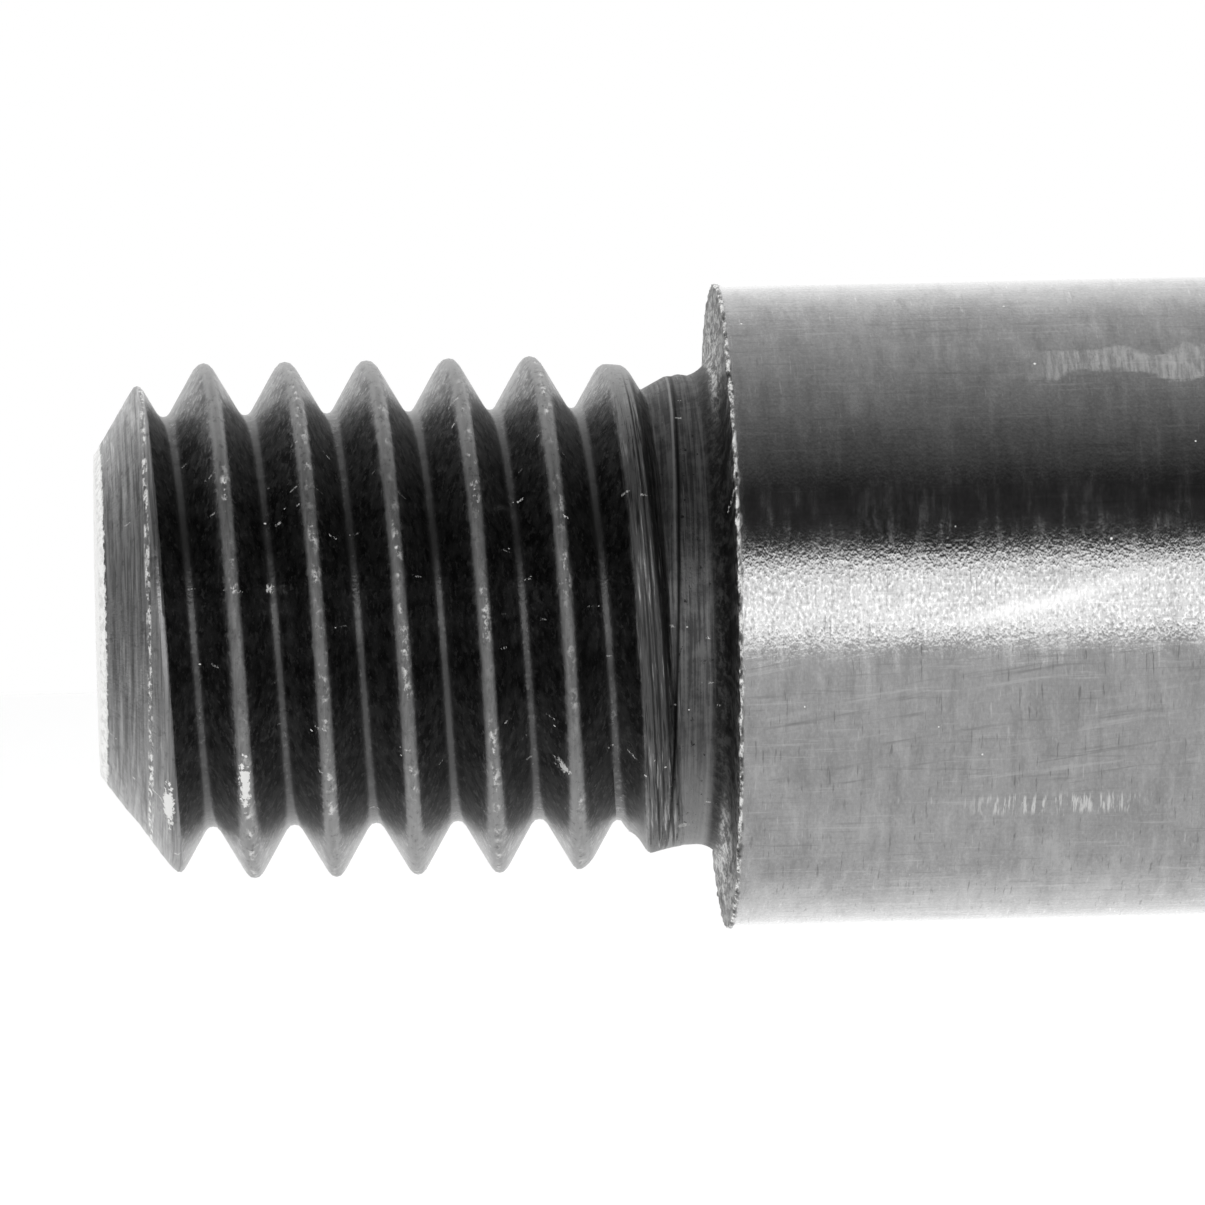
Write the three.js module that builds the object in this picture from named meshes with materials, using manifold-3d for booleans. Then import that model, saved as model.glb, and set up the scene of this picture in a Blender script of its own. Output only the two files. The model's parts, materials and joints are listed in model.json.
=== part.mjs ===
// A ball screw with its flanged ball nut and the bearing unit that holds its driven end.
// Millimetres, +Z up. The screw lies along X, with the drive end at +X and the free threaded
// end at -X. The origin is the centre of the bearing housing's base face.
// Angles about the screw are measured from +Y towards +Z. All threads are right-handed.

import * as THREE from 'three';
import { mergeVertices } from 'three/addons/utils/BufferGeometryUtils.js';
import Module from 'manifold-3d';

const wasm = await Module();
wasm.setup();

// Driving dimensions -------------------------------------------------------------------

const AXIS_HEIGHT = 25; // screw axis above the housing's base
const GAP = 0.3; // between faces that rest on each other
const FIT = 0.1; // radial, between pieces of one body that are pressed or screwed together
const ROUND = 24; // facets round a turned piece
const SMALL_ROUND = 12; // facets round a screw, hole or nipple

const ball = { diameter: 3.175, circle: 16.5, perCircuit: 16 };
const thread = { lead: 5, outside: 15.5, groove: 1.75, steps: 10, from: -148, to: -18 };
const journal = { diameter: 10, from: -168 };
const stub = {
  pitch: 1.25,
  outside: 8,
  root: 6.36,
  neck: 7.27,
  neckLength: 1.3,
  length: 9.7,
  tip: 5.5,
  steps: 16,
  crestFlat: 0.18,
  crestAtTop: 1.603, // from the shoulder back to the first crest line, at the top
};
const bearingSeat = { diameter: 12, to: 30 };
const driveEnd = { diameter: 10, to: 46, chamfer: 0.6 };

const nut = {
  from: -104,
  flangeFrom: -72,
  to: -62,
  diameter: 28,
  flange: 48,
  flangeFlats: 40,
  bore: 16.1,
  groove: 1.8,
  facets: 36,
  steps: 12,
  boltCircle: 38,
  boltHole: 5.5,
  boltAngles: [45, 90, 135, 225, 270, 315],
  chamfer: 0.8,
};
const wiper = { diameter: 22, bore: 16, depth: 4 };
const circuits = [
  { groove: -95, crossing: 135 },
  { groove: -85, crossing: 315 },
];
const crossing = { halfAngle: 30, lift: 1.25, liftShare: 0.35, channel: 1.85 };
const deflector = { halfLength: 2, endRadius: 4.6, inner: 8.45, outer: 13.7 };
const nipple = { threadRadius: 3, hexAcross: 7, length: 8.5, depth: 5, wayRadius: 1.2 };

const housing = {
  width: 60,
  height: 43,
  length: 25,
  shoulderHeight: 32.5,
  blockWidth: 35,
  blockChamfer: 3,
  holeSpacing: 46,
  boltHole: 6.6,
  counterbore: 10.8,
  counterboreDepth: 1.5,
  pinHole: 5.5,
  holeOffset: 6.5,
};
const bearing = { bore: 12, outside: 28, width: 8, innerLand: 17.4, outerLand: 22.8 };
const bearingBalls = { diameter: 4.762, circle: 20, count: 10, groove: 2.62 };
const cage = { from: 18.4, to: 21.2, width: 6.2 };
const collar = { outside: 18, reach: 17.7 };
const seal = { outside: 22, bore: 18.5, width: 3.4 };
const cap = {
  side: 34,
  corner: 5,
  thickness: 5,
  pilotBore: 23.2,
  screwSpacing: 26.4,
  headPocket: 6.1,
  headPocketDepth: 3.3,
};
const capScrew = { diameter: 3, length: 10, head: 5.5, headHeight: 3, socket: 2.5 };
const locknut = { across: 19, from: 18, to: 29, chamferRadius: 10.4 };
const setScrew = { diameter: 4, length: 2, socket: 2 };
const pad = { diameter: 3, thickness: 0.8 };

// Finishes -----------------------------------------------------------------------------

const finish = (color, roughness, metalness) =>
  new THREE.MeshStandardMaterial({ color, roughness, metalness });

const groundSteel = finish(0x9a9a9c, 0.3, 1);
const nutSteel = finish(0x8d8e91, 0.35, 1);
const bearingSteel = finish(0xc4c6c9, 0.15, 1);
const blackOxide = finish(0x1b1b1d, 0.5, 0.6);
const collarSteel = finish(0xa9abad, 0.3, 1);
const screwBlack = finish(0x242426, 0.45, 0.7);
const sealRubber = finish(0x161617, 0.8, 0);
const wiperPlastic = finish(0x1c1d20, 0.6, 0);
const deflectorPlastic = finish(0x3a3c40, 0.5, 0);
const cagePlastic = finish(0xb79a5c, 0.5, 0);
const brass = finish(0xb58f45, 0.35, 1);

// Shape helpers ------------------------------------------------------------------------

const rad = THREE.MathUtils.degToRad;

function volumeOf(vertices, triangles) {
  const corner = (k) => new THREE.Vector3().fromArray(vertices, 3 * triangles[k]);
  let sum = 0;
  for (let t = 0; t < triangles.length; t += 3) {
    sum += corner(t).dot(corner(t + 1).cross(corner(t + 2)));
  }
  return sum / 6;
}

function solidFrom(vertices, triangles) {
  if (volumeOf(vertices, triangles) < 0) {
    triangles.reverse();
  }
  const mesh = new wasm.Mesh({
    numProp: 3,
    vertProperties: Float32Array.from(vertices),
    triVerts: Uint32Array.from(triangles),
  });
  return new wasm.Manifold(mesh);
}

function solid(geometry) {
  const bare = geometry.clone();
  bare.deleteAttribute('normal');
  bare.deleteAttribute('uv');
  const merged = mergeVertices(bare, 1e-5);
  const index = Array.from(merged.index.array);
  const triangles = [];
  for (let t = 0; t < index.length; t += 3) {
    const [a, b, c] = index.slice(t, t + 3);
    if (a !== b && b !== c && c !== a) {
      triangles.push(a, b, c);
    }
  }
  return solidFrom(Array.from(merged.attributes.position.array), triangles);
}

function geometryOf(shape) {
  const { numProp, vertProperties, triVerts } = shape.getMesh();
  const positions = new Float32Array((vertProperties.length / numProp) * 3);
  for (let v = 0; v < positions.length / 3; v += 1) {
    positions.set(vertProperties.subarray(v * numProp, v * numProp + 3), 3 * v);
  }
  const geometry = new THREE.BufferGeometry();
  geometry.setAttribute('position', new THREE.BufferAttribute(positions, 3));
  geometry.setIndex(Array.from(triVerts));
  geometry.computeVertexNormals();
  return geometry;
}

// A solid of revolution about X, from [x, radius] points that start and end on the axis or
// close on themselves.
function turned(outline, facets = ROUND) {
  const points = outline.map(([x, radius]) => new THREE.Vector2(radius, x));
  const geometry = new THREE.LatheGeometry(points, facets);
  return solid(geometry.rotateZ(-Math.PI / 2));
}

function rod(from, to, radius, facets = ROUND) {
  return turned([[from, 0], [from, radius], [to, radius], [to, 0]], facets);
}

function ring(from, to, inner, outer, facets = ROUND) {
  const outline = [[from, inner], [from, outer], [to, outer], [to, inner], [from, inner]];
  return turned(outline, facets);
}

// A prism along X from a shape drawn with Y to the right and Z up.
function prism(shape, from, to, curveSegments = 6) {
  const geometry = new THREE.ExtrudeGeometry(shape, {
    depth: to - from,
    bevelEnabled: false,
    curveSegments,
  });
  const turn = new THREE.Matrix4().set(0, 0, 1, from, 1, 0, 0, 0, 0, 1, 0, 0, 0, 0, 0, 1);
  return solid(geometry.applyMatrix4(turn));
}

function polygon(points) {
  return new THREE.Shape(points.map(([y, z]) => new THREE.Vector2(y, z)));
}

function regular(sides, acrossFlats) {
  const radius = acrossFlats / 2 / Math.cos(Math.PI / sides);
  const corner = (k) => (2 * Math.PI * (k + 0.5)) / sides;
  const corners = Array.from({ length: sides }, (_, k) => [
    radius * Math.cos(corner(k)),
    radius * Math.sin(corner(k)),
  ]);
  return polygon(corners);
}

// A solid made along +X from the origin, turned to point outward at an angle about the
// screw and set at a place along it.
function radial(shape, angle, x) {
  const frame = new THREE.Matrix4().makeRotationX(rad(angle));
  frame.multiply(new THREE.Matrix4().makeRotationZ(Math.PI / 2));
  frame.setPosition(x, 0, 0);
  return solid(geometryOf(shape).applyMatrix4(frame));
}

function moved(shape, x, y, z) {
  return solid(geometryOf(shape).translate(x, y, z));
}

// A body whose section through the axis repeats every lead. The profile is one lead of
// [x, radius] points from the groove's or crest's centre, which passes angle 0 at x = phase.
function helical({ profile, lead, steps, phase, from, to }) {
  const first = Math.floor(((from - phase) / lead) * steps) - 2 * steps;
  const last = Math.ceil(((to - phase) / lead) * steps) + 2 * steps;
  const columns = profile.length;
  const rows = last + steps - first;
  const vertices = [];
  for (let row = 0; row <= rows; row += 1) {
    const angle = (2 * Math.PI * (row + first)) / steps;
    const x = phase + (lead * (row + first)) / steps;
    for (const [dx, radius] of profile) {
      vertices.push(x + dx, radius * Math.cos(angle), radius * Math.sin(angle));
    }
  }
  const at = (row, column) =>
    column === columns ? (row + steps) * columns : row * columns + column;
  const body = last - first;
  const triangles = [];
  for (let row = 0; row < body; row += 1) {
    for (let column = 0; column < columns; column += 1) {
      const a = at(row, column);
      const b = at(row + 1, column);
      const c = at(row + 1, column + 1);
      const d = at(row, column + 1);
      triangles.push(a, b, c, a, c, d);
    }
  }
  const nearEnd = vertices.length / 3;
  const farEnd = nearEnd + 1;
  vertices.push(from - 4 * lead, 0, 0, to + 4 * lead, 0, 0);
  for (let step = 0; step < steps; step += 1) {
    triangles.push(at(step + 1, 0), at(step, 0), nearEnd);
    triangles.push(at(body + step, 0), at(body + step + 1, 0), farEnd);
  }
  for (let column = 0; column < columns; column += 1) {
    triangles.push(at(0, column), at(0, column + 1), nearEnd);
    triangles.push(at(body, column + 1), at(body, column), farEnd);
  }
  const used = [...new Set(triangles)];
  const renumber = new Map(used.map((old, k) => [old, k]));
  const kept = used.flatMap((old) => vertices.slice(3 * old, 3 * old + 3));
  const whole = solidFrom(kept, triangles.map((old) => renumber.get(old)));
  const reach = Math.max(...profile.map(([, radius]) => radius)) + 1;
  return whole.intersect(rod(from, to, reach));
}

// Screw --------------------------------------------------------------------------------

const ballCentre = ball.circle / 2;
const groovePhase = circuits[0].groove;

// Arc points of a ball groove's section, where it opens at the given land radius.
// side is -1 for the screw's groove and +1 for the nut's.
function grooveProfile(radius, landRadius, side) {
  const half = Math.acos(((landRadius - ballCentre) * side) / radius);
  return [-1, -0.5, 0, 0.5, 1].map((share) => [
    radius * Math.sin(half * share),
    ballCentre + side * radius * Math.cos(half * share),
  ]);
}

function screwShaft() {
  const landRadius = thread.outside / 2;
  const ballThread = helical({
    profile: grooveProfile(thread.groove, landRadius, -1),
    lead: thread.lead,
    steps: thread.steps,
    phase: groovePhase,
    from: thread.from,
    to: thread.to,
  });
  const core = ballCentre - thread.groove - 0.5;
  const seat = bearingSeat.diameter / 2;
  const drive = driveEnd.diameter / 2;
  const end = journal.diameter / 2;
  const neck = stub.neck / 2;
  const shoulder = journal.from;
  const stubCore = stub.root / 2 - 0.2;
  const tipX = shoulder - stub.length;
  const neckX = shoulder - stub.neckLength;
  const fillet = 0.4;
  const body = turned([
    [tipX, 0],
    [tipX, stub.tip / 2 - 0.3],
    [tipX + 0.3, stubCore],
    [neckX, stubCore],
    [neckX, neck],
    [shoulder - fillet, neck],
    [shoulder - 0.12, neck + 0.12],
    [shoulder, neck + fillet],
    [shoulder, end],
    [thread.from, end],
    [thread.from, core],
    [thread.to, core],
    [thread.to, seat],
    [bearingSeat.to, seat],
    [bearingSeat.to, drive],
    [driveEnd.to - driveEnd.chamfer, drive],
    [driveEnd.to, drive - driveEnd.chamfer],
    [driveEnd.to, 0],
  ]);
  return body.add(ballThread).add(stubThread(tipX, neckX));
}

// The machine thread on the free end, ending in a 45 degree chamfer at the tip.
function stubThread(tipX, neckX) {
  const crest = stub.outside / 2;
  const root = stub.root / 2;
  const flank = (crest - root) * Math.tan(rad(30));
  const halfCrest = stub.crestFlat / 2;
  const profile = [
    [-halfCrest, crest],
    [halfCrest, crest],
    [halfCrest + flank, root],
    [stub.pitch - halfCrest - flank, root],
  ];
  const crestAtTop = journal.from - stub.crestAtTop;
  const helix = helical({
    profile,
    lead: stub.pitch,
    steps: stub.steps,
    phase: crestAtTop - stub.pitch / 4,
    from: tipX,
    to: neckX + 0.2,
  });
  const tip = stub.tip / 2;
  const beyond = crest + 1;
  const envelope = turned([
    [tipX, 0],
    [tipX, tip],
    [tipX + beyond - tip, beyond],
    [neckX + 1, beyond],
    [neckX + 1, 0],
  ]);
  return helix.intersect(envelope);
}

// Ball nut -----------------------------------------------------------------------------

const smooth = (share) => share * share * (3 - 2 * share);

// The centre of a ball in a circuit, at an angle past the middle of the crossing. It runs
// one turn in the groove, then lifts over the screw's land and drops back by one lead.
function circuitPoint(circuit, past) {
  const { halfAngle, lift, liftShare } = crossing;
  const start = circuit.groove + (thread.lead * circuit.crossing) / 360;
  let x = start + (thread.lead * past) / 360;
  let radius = ballCentre;
  const share = (past - (360 - halfAngle)) / (2 * halfAngle);
  if (share > 0) {
    const nearest = Math.min(share, 1 - share);
    x -= thread.lead * smooth(Math.min(share, 1));
    radius += lift * smooth(THREE.MathUtils.clamp(nearest / liftShare, 0, 1));
  }
  const angle = rad(circuit.crossing + past);
  return new THREE.Vector3(x, radius * Math.cos(angle), radius * Math.sin(angle));
}

function circuitLoop(circuit) {
  const samples = 360;
  const first = crossing.halfAngle;
  const points = [];
  for (let k = 0; k < samples; k += 1) {
    points.push(circuitPoint(circuit, first + (360 * k) / samples));
  }
  return new THREE.CatmullRomCurve3(points, true);
}

// The channel that a circuit's balls pass through at its crossing.
function crossingChannel(circuit) {
  const points = [];
  for (let past = 310; past <= 410; past += 5) {
    points.push(circuitPoint(circuit, past));
  }
  const section = new THREE.Shape();
  section.absarc(0, 0, crossing.channel, 0, 2 * Math.PI);
  const geometry = new THREE.ExtrudeGeometry(section, {
    steps: 14,
    curveSegments: 4,
    extrudePath: new THREE.CatmullRomCurve3(points),
  });
  return solid(geometry);
}

// An oval plug, long round the nut and short along it, standing on the screw's axis.
function ovalPlug(grow) {
  const { halfLength, endRadius } = deflector;
  const outline = new THREE.Shape();
  outline.absarc(halfLength, 0, endRadius + grow, -Math.PI / 2, Math.PI / 2);
  outline.absarc(-halfLength, 0, endRadius + grow, Math.PI / 2, (3 * Math.PI) / 2);
  const geometry = new THREE.ExtrudeGeometry(outline, {
    depth: nut.diameter / 2 + 2,
    bevelEnabled: false,
    curveSegments: 6,
  });
  return solid(geometry.rotateY(Math.PI / 2).rotateX(Math.PI / 2));
}

function plugAt(circuit, grow) {
  const middle = circuit.groove + (thread.lead * (circuit.crossing + 360)) / 360;
  const shape = geometryOf(ovalPlug(grow));
  const frame = new THREE.Matrix4().makeRotationX(rad(circuit.crossing));
  frame.multiply(new THREE.Matrix4().makeRotationZ(Math.PI / 2));
  frame.setPosition(middle - thread.lead / 2, 0, 0);
  return solid(shape.applyMatrix4(frame));
}

function deflectorFor(circuit) {
  const shell = ring(nut.from, nut.to, deflector.inner, deflector.outer);
  return plugAt(circuit, 0).intersect(shell).subtract(crossingChannel(circuit));
}

function nutBody() {
  const body = nut.diameter / 2;
  const flange = nut.flange / 2;
  const edge = nut.chamfer;
  let shape = turned([
    [nut.from, 0],
    [nut.from, body - edge],
    [nut.from + edge, body],
    [nut.flangeFrom, body],
    [nut.flangeFrom, flange],
    [nut.to - edge, flange],
    [nut.to, flange - edge],
    [nut.to, 0],
  ], nut.facets);
  const half = nut.flangeFlats / 2;
  const slab = polygon([[-half, -flange], [half, -flange], [half, flange], [-half, flange]]);
  shape = shape.intersect(prism(slab, nut.from, nut.to));

  const widen = 1 / Math.cos(Math.PI / nut.steps);
  const profile = grooveProfile(nut.groove, nut.bore / 2, 1);
  const core = helical({
    profile: profile.map(([x, radius]) => [x, radius * widen]),
    lead: thread.lead,
    steps: nut.steps,
    phase: groovePhase,
    from: nut.from - 1,
    to: nut.to + 1,
  });
  shape = shape.subtract(core);

  const recess = wiper.diameter / 2 + FIT;
  shape = shape.subtract(rod(nut.from - 1, nut.from + wiper.depth, recess));
  shape = shape.subtract(rod(nut.to - wiper.depth, nut.to + 1, recess));
  for (const angle of nut.boltAngles) {
    const hole = rod(nut.flangeFrom - 1, nut.to + 1, nut.boltHole / 2, SMALL_ROUND);
    const y = (nut.boltCircle / 2) * Math.cos(rad(angle));
    const z = (nut.boltCircle / 2) * Math.sin(rad(angle));
    shape = shape.subtract(moved(hole, 0, y, z));
  }
  for (const circuit of circuits) {
    shape = shape.subtract(plugAt(circuit, FIT));
    shape = shape.subtract(crossingChannel(circuit));
  }
  const flat = nut.flangeFlats / 2;
  const socket = rod(flat - nipple.depth - 1, flat + 1, nipple.threadRadius + FIT, SMALL_ROUND);
  const way = rod(ballCentre, flat, nipple.wayRadius, SMALL_ROUND);
  return shape.subtract(radial(socket.add(way), 180, flangeMiddle));
}

const flangeMiddle = (nut.flangeFrom + nut.to) / 2;

function wiperRing(from) {
  const inner = wiper.bore / 2;
  const outer = wiper.diameter / 2;
  return ring(from + GAP, from + wiper.depth - GAP / 3, inner, outer);
}

function greaseNipple() {
  const flat = nut.flangeFlats / 2;
  const { threadRadius, length, depth } = nipple;
  const stem = turned([
    [flat - depth, 0],
    [flat - depth, threadRadius],
    [flat + 1, threadRadius],
    [flat + 5, threadRadius - 0.6],
    [flat + 5.6, 1.6],
    [flat + 6.4, 1.6],
    [flat + 7.2, 2.4],
    [flat + 8, 2.2],
    [flat + length, 1.2],
    [flat + length, 0],
  ], SMALL_ROUND);
  const hex = prism(regular(6, nipple.hexAcross), flat + GAP, flat + 3.5);
  return radial(stem.add(hex), 180, flangeMiddle);
}

// Bearing unit -------------------------------------------------------------------------

const half = housing.length / 2;
const seatRadius = bearing.outside / 2 + FIT;
const collarRadius = collar.outside / 2;

function housingBlock() {
  const { width, height, shoulderHeight, blockWidth, blockChamfer } = housing;
  const side = width / 2;
  const block = blockWidth / 2;
  const foot = 1;
  const outline = polygon([
    [-side + foot, 0],
    [side - foot, 0],
    [side, foot],
    [side, shoulderHeight - foot],
    [side - foot, shoulderHeight],
    [block, shoulderHeight],
    [block, height - blockChamfer],
    [block - blockChamfer, height],
    [-block + blockChamfer, height],
    [-block, height - blockChamfer],
    [-block, shoulderHeight],
    [-side + foot, shoulderHeight],
    [-side, shoulderHeight - foot],
    [-side, foot],
  ]);
  let shape = prism(outline, -half, half);
  const pocket = rod(-bearing.width - GAP, half + 1, seatRadius);
  const sealSeat = rod(-half - 1, 0, seal.outside / 2 + FIT);
  shape = shape.subtract(moved(pocket.add(sealSeat), 0, 0, AXIS_HEIGHT));
  for (const y of [-housing.holeSpacing / 2, housing.holeSpacing / 2]) {
    const drill = (radius, depthFromTop) => {
      const from = depthFromTop ? shoulderHeight - depthFromTop : -1;
      const hole = rod(from, shoulderHeight + 1, radius, 16);
      return solid(geometryOf(hole).rotateY(-Math.PI / 2));
    };
    const bolt = drill(housing.boltHole / 2).add(
      drill(housing.counterbore / 2, housing.counterboreDepth),
    );
    shape = shape.subtract(moved(bolt, -housing.holeOffset, y, 0));
    shape = shape.subtract(moved(drill(housing.pinHole / 2), housing.holeOffset, y, 0));
  }
  for (const [y, z] of capScrewPlaces()) {
    const tapped = rod(half - 8, half + 1, capScrew.diameter / 2 + FIT, SMALL_ROUND);
    shape = shape.subtract(moved(tapped, 0, y, z + AXIS_HEIGHT));
  }
  return shape;
}

function capScrewPlaces() {
  const s = cap.screwSpacing / 2;
  return [[s, s], [-s, s], [-s, -s], [s, -s]];
}

function capPlate() {
  const side = cap.side / 2;
  const round = cap.corner;
  const outline = new THREE.Shape();
  outline.absarc(side - round, side - round, round, 0, Math.PI / 2);
  outline.absarc(round - side, side - round, round, Math.PI / 2, Math.PI);
  outline.absarc(round - side, round - side, round, Math.PI, 1.5 * Math.PI);
  outline.absarc(side - round, round - side, round, 1.5 * Math.PI, 2 * Math.PI);
  const outside = half + cap.thickness;
  let shape = prism(outline, half + GAP / 3, outside, 3);
  const pilotFrom = bearing.width + GAP;
  const pilotRadius = bearing.outside / 2;
  shape = shape.add(ring(pilotFrom, half + 1, cap.pilotBore / 2, pilotRadius));
  shape = shape.subtract(rod(outside - seal.width - GAP, outside + 1, seal.outside / 2 + FIT));
  shape = shape.subtract(rod(half - 1, outside + 1, collarRadius + 0.8));
  for (const [y, z] of capScrewPlaces()) {
    const head = rod(outside - cap.headPocketDepth, outside + 1, cap.headPocket / 2, SMALL_ROUND);
    const shank = rod(half - 1, outside, capScrew.diameter / 2 + 2 * FIT, SMALL_ROUND);
    shape = shape.subtract(moved(head.add(shank), 0, y, z));
  }
  return shape;
}

function capScrewBody() {
  const under = half + cap.thickness - cap.headPocketDepth + GAP / 3;
  const head = capScrew.head / 2;
  const shank = capScrew.diameter / 2;
  const top = under + capScrew.headHeight;
  const body = turned([
    [under - capScrew.length + capScrew.headHeight, 0],
    [under - capScrew.length + capScrew.headHeight, shank],
    [under, shank],
    [under, head],
    [top - 0.4, head],
    [top, head - 0.4],
    [top, 0],
  ], SMALL_ROUND);
  const socket = prism(regular(6, capScrew.socket), top - 1.4, top + 1);
  return body.subtract(socket);
}

// A grooved bearing ring. side is +1 for the inner ring, whose raceway faces outward, and
// -1 for the outer ring.
function bearingRing(from, wall, land, side) {
  const centre = bearingBalls.circle / 2;
  const to = from + bearing.width - GAP;
  const middle = from + (bearing.width - GAP) / 2;
  const reach = (centre - land) * side;
  const open = Math.acos(reach / bearingBalls.groove);
  const arc = [-1, -0.33, 0.33, 1].map((share) => [
    middle + bearingBalls.groove * Math.sin(open * share),
    centre - side * bearingBalls.groove * Math.cos(open * share),
  ]);
  return turned([[from, wall], [from, land], ...arc, [to, land], [to, wall], [from, wall]]);
}

// The cage joined to its balls, which turn round the shaft as one set.
function cageSet(from) {
  const middle = from + (bearing.width - GAP) / 2;
  const width = cage.width / 2;
  let shape = ring(middle - width, middle + width, cage.from / 2, cage.to / 2);
  for (let k = 0; k < bearingBalls.count; k += 1) {
    const angle = (2 * Math.PI * k) / bearingBalls.count;
    const sphere = solid(new THREE.IcosahedronGeometry(bearingBalls.diameter / 2, 0));
    const y = (bearingBalls.circle / 2) * Math.cos(angle);
    const z = (bearingBalls.circle / 2) * Math.sin(angle);
    shape = shape.add(moved(sphere, middle, y, z));
  }
  return shape;
}

function collarSleeve(from, to) {
  const bore = bearingSeat.diameter / 2 + FIT;
  const edge = 0.5;
  return turned([
    [from, bore],
    [from, collarRadius - edge],
    [from + edge, collarRadius],
    [to - edge, collarRadius],
    [to, collarRadius - edge],
    [to, bore],
    [from, bore],
  ]);
}

function locknutBody() {
  const { from, to, chamferRadius } = locknut;
  const corner = locknut.across / 2 / Math.cos(Math.PI / 6);
  const hex = prism(regular(6, locknut.across), from + GAP, to);
  const edge = corner - chamferRadius;
  const envelope = turned([
    [from, 0],
    [from, chamferRadius],
    [from + edge + GAP, corner + GAP],
    [to - edge, corner + GAP],
    [to, chamferRadius],
    [to, 0],
  ]);
  const bore = rod(from - 1, to + 1, bearingSeat.diameter / 2 + FIT);
  const hole = rod(bearingSeat.diameter / 2, corner + 1, setScrew.diameter / 2 + FIT, SMALL_ROUND);
  return hex.intersect(envelope).subtract(bore).subtract(radial(hole, 90, locknutMiddle));
}

const locknutMiddle = (locknut.from + locknut.to) / 2;

function setScrewBody() {
  const from = bearingSeat.diameter / 2 + 2 * GAP + pad.thickness;
  const to = from + setScrew.length;
  const body = rod(from, to, setScrew.diameter / 2, SMALL_ROUND);
  const socket = prism(regular(6, setScrew.socket), from + 0.8, to + 1);
  return radial(body.subtract(socket), 90, locknutMiddle);
}

function padDisc() {
  const from = bearingSeat.diameter / 2 + GAP;
  const disc = rod(from, from + pad.thickness, pad.diameter / 2, SMALL_ROUND);
  return radial(disc, 90, locknutMiddle);
}

// Assembly -----------------------------------------------------------------------------

const assembly = new THREE.Group();
const screwLine = new THREE.Group();
screwLine.position.z = AXIS_HEIGHT;
assembly.add(screwLine);

function place(name, shape, material, parent = screwLine) {
  const mesh = new THREE.Mesh(geometryOf(shape), material);
  mesh.name = name;
  parent.add(mesh);
  return mesh;
}

place('screw_shaft', screwShaft(), groundSteel);

place('nut_body', nutBody(), nutSteel);
place('nut_wiper_rear', wiperRing(nut.from), wiperPlastic);
place('nut_wiper_front', wiperRing(nut.to - wiper.depth), wiperPlastic);
place('grease_nipple', greaseNipple(), brass);
circuits.forEach((circuit, c) => {
  place(`ball_deflector_${c + 1}`, deflectorFor(circuit), deflectorPlastic);
  const loop = circuitLoop(circuit);
  for (let k = 0; k < ball.perCircuit; k += 1) {
    const sphere = solid(new THREE.IcosahedronGeometry(ball.diameter / 2, 1));
    const name = `nut_ball_${c + 1}_${String(k + 1).padStart(2, '0')}`;
    const mesh = place(name, sphere, bearingSteel);
    mesh.position.copy(loop.getPointAt(k / ball.perCircuit));
  }
});

place('support_housing', housingBlock(), blackOxide, assembly);
place('bearing_cap', capPlate(), blackOxide);
capScrewPlaces().forEach(([y, z], k) => {
  const mesh = place(`cap_screw_${k + 1}`, capScrewBody(), screwBlack);
  mesh.position.set(0, y, z);
});
[['a', -bearing.width + GAP / 2], ['b', GAP / 2]].forEach(([letter, from]) => {
  const inner = bearing.bore / 2 + FIT;
  const outer = bearing.outside / 2;
  const name = (piece) => `bearing_${letter}_${piece}`;
  place(name('inner_ring'), bearingRing(from, inner, bearing.innerLand / 2, 1), bearingSteel);
  place(name('outer_ring'), bearingRing(from, outer, bearing.outerLand / 2, -1), bearingSteel);
  place(name('cage'), cageSet(from), cagePlastic);
});
const sealInner = seal.bore / 2;
const sealOuter = seal.outside / 2;
const capFace = half + cap.thickness;
place('seal_inboard', ring(-half + GAP, -half + seal.width, sealInner, sealOuter), sealRubber);
place('seal_outboard', ring(capFace - seal.width, capFace - GAP, sealInner, sealOuter), sealRubber);
place('collar_inboard', collarSleeve(-collar.reach, -bearing.width), collarSteel);
place('collar_outboard', collarSleeve(bearing.width + GAP, collar.reach), collarSteel);
place('locknut', locknutBody(), screwBlack);
place('locknut_set_screw', setScrewBody(), screwBlack);
place('locknut_pad', padDisc(), brass);

export default assembly;
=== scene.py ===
"""Looks of a ball screw assembly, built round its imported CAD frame. Sizes are in millimetres
until a mesh is made, and the screw axis lies along +X. Angles about the screw run from +Y
towards +Z. The camera looks along +Y at the screw's free threaded end."""

import json
import math
from types import SimpleNamespace

import bmesh
import bpy
import numpy as np
from mathutils import Matrix, Vector

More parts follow.
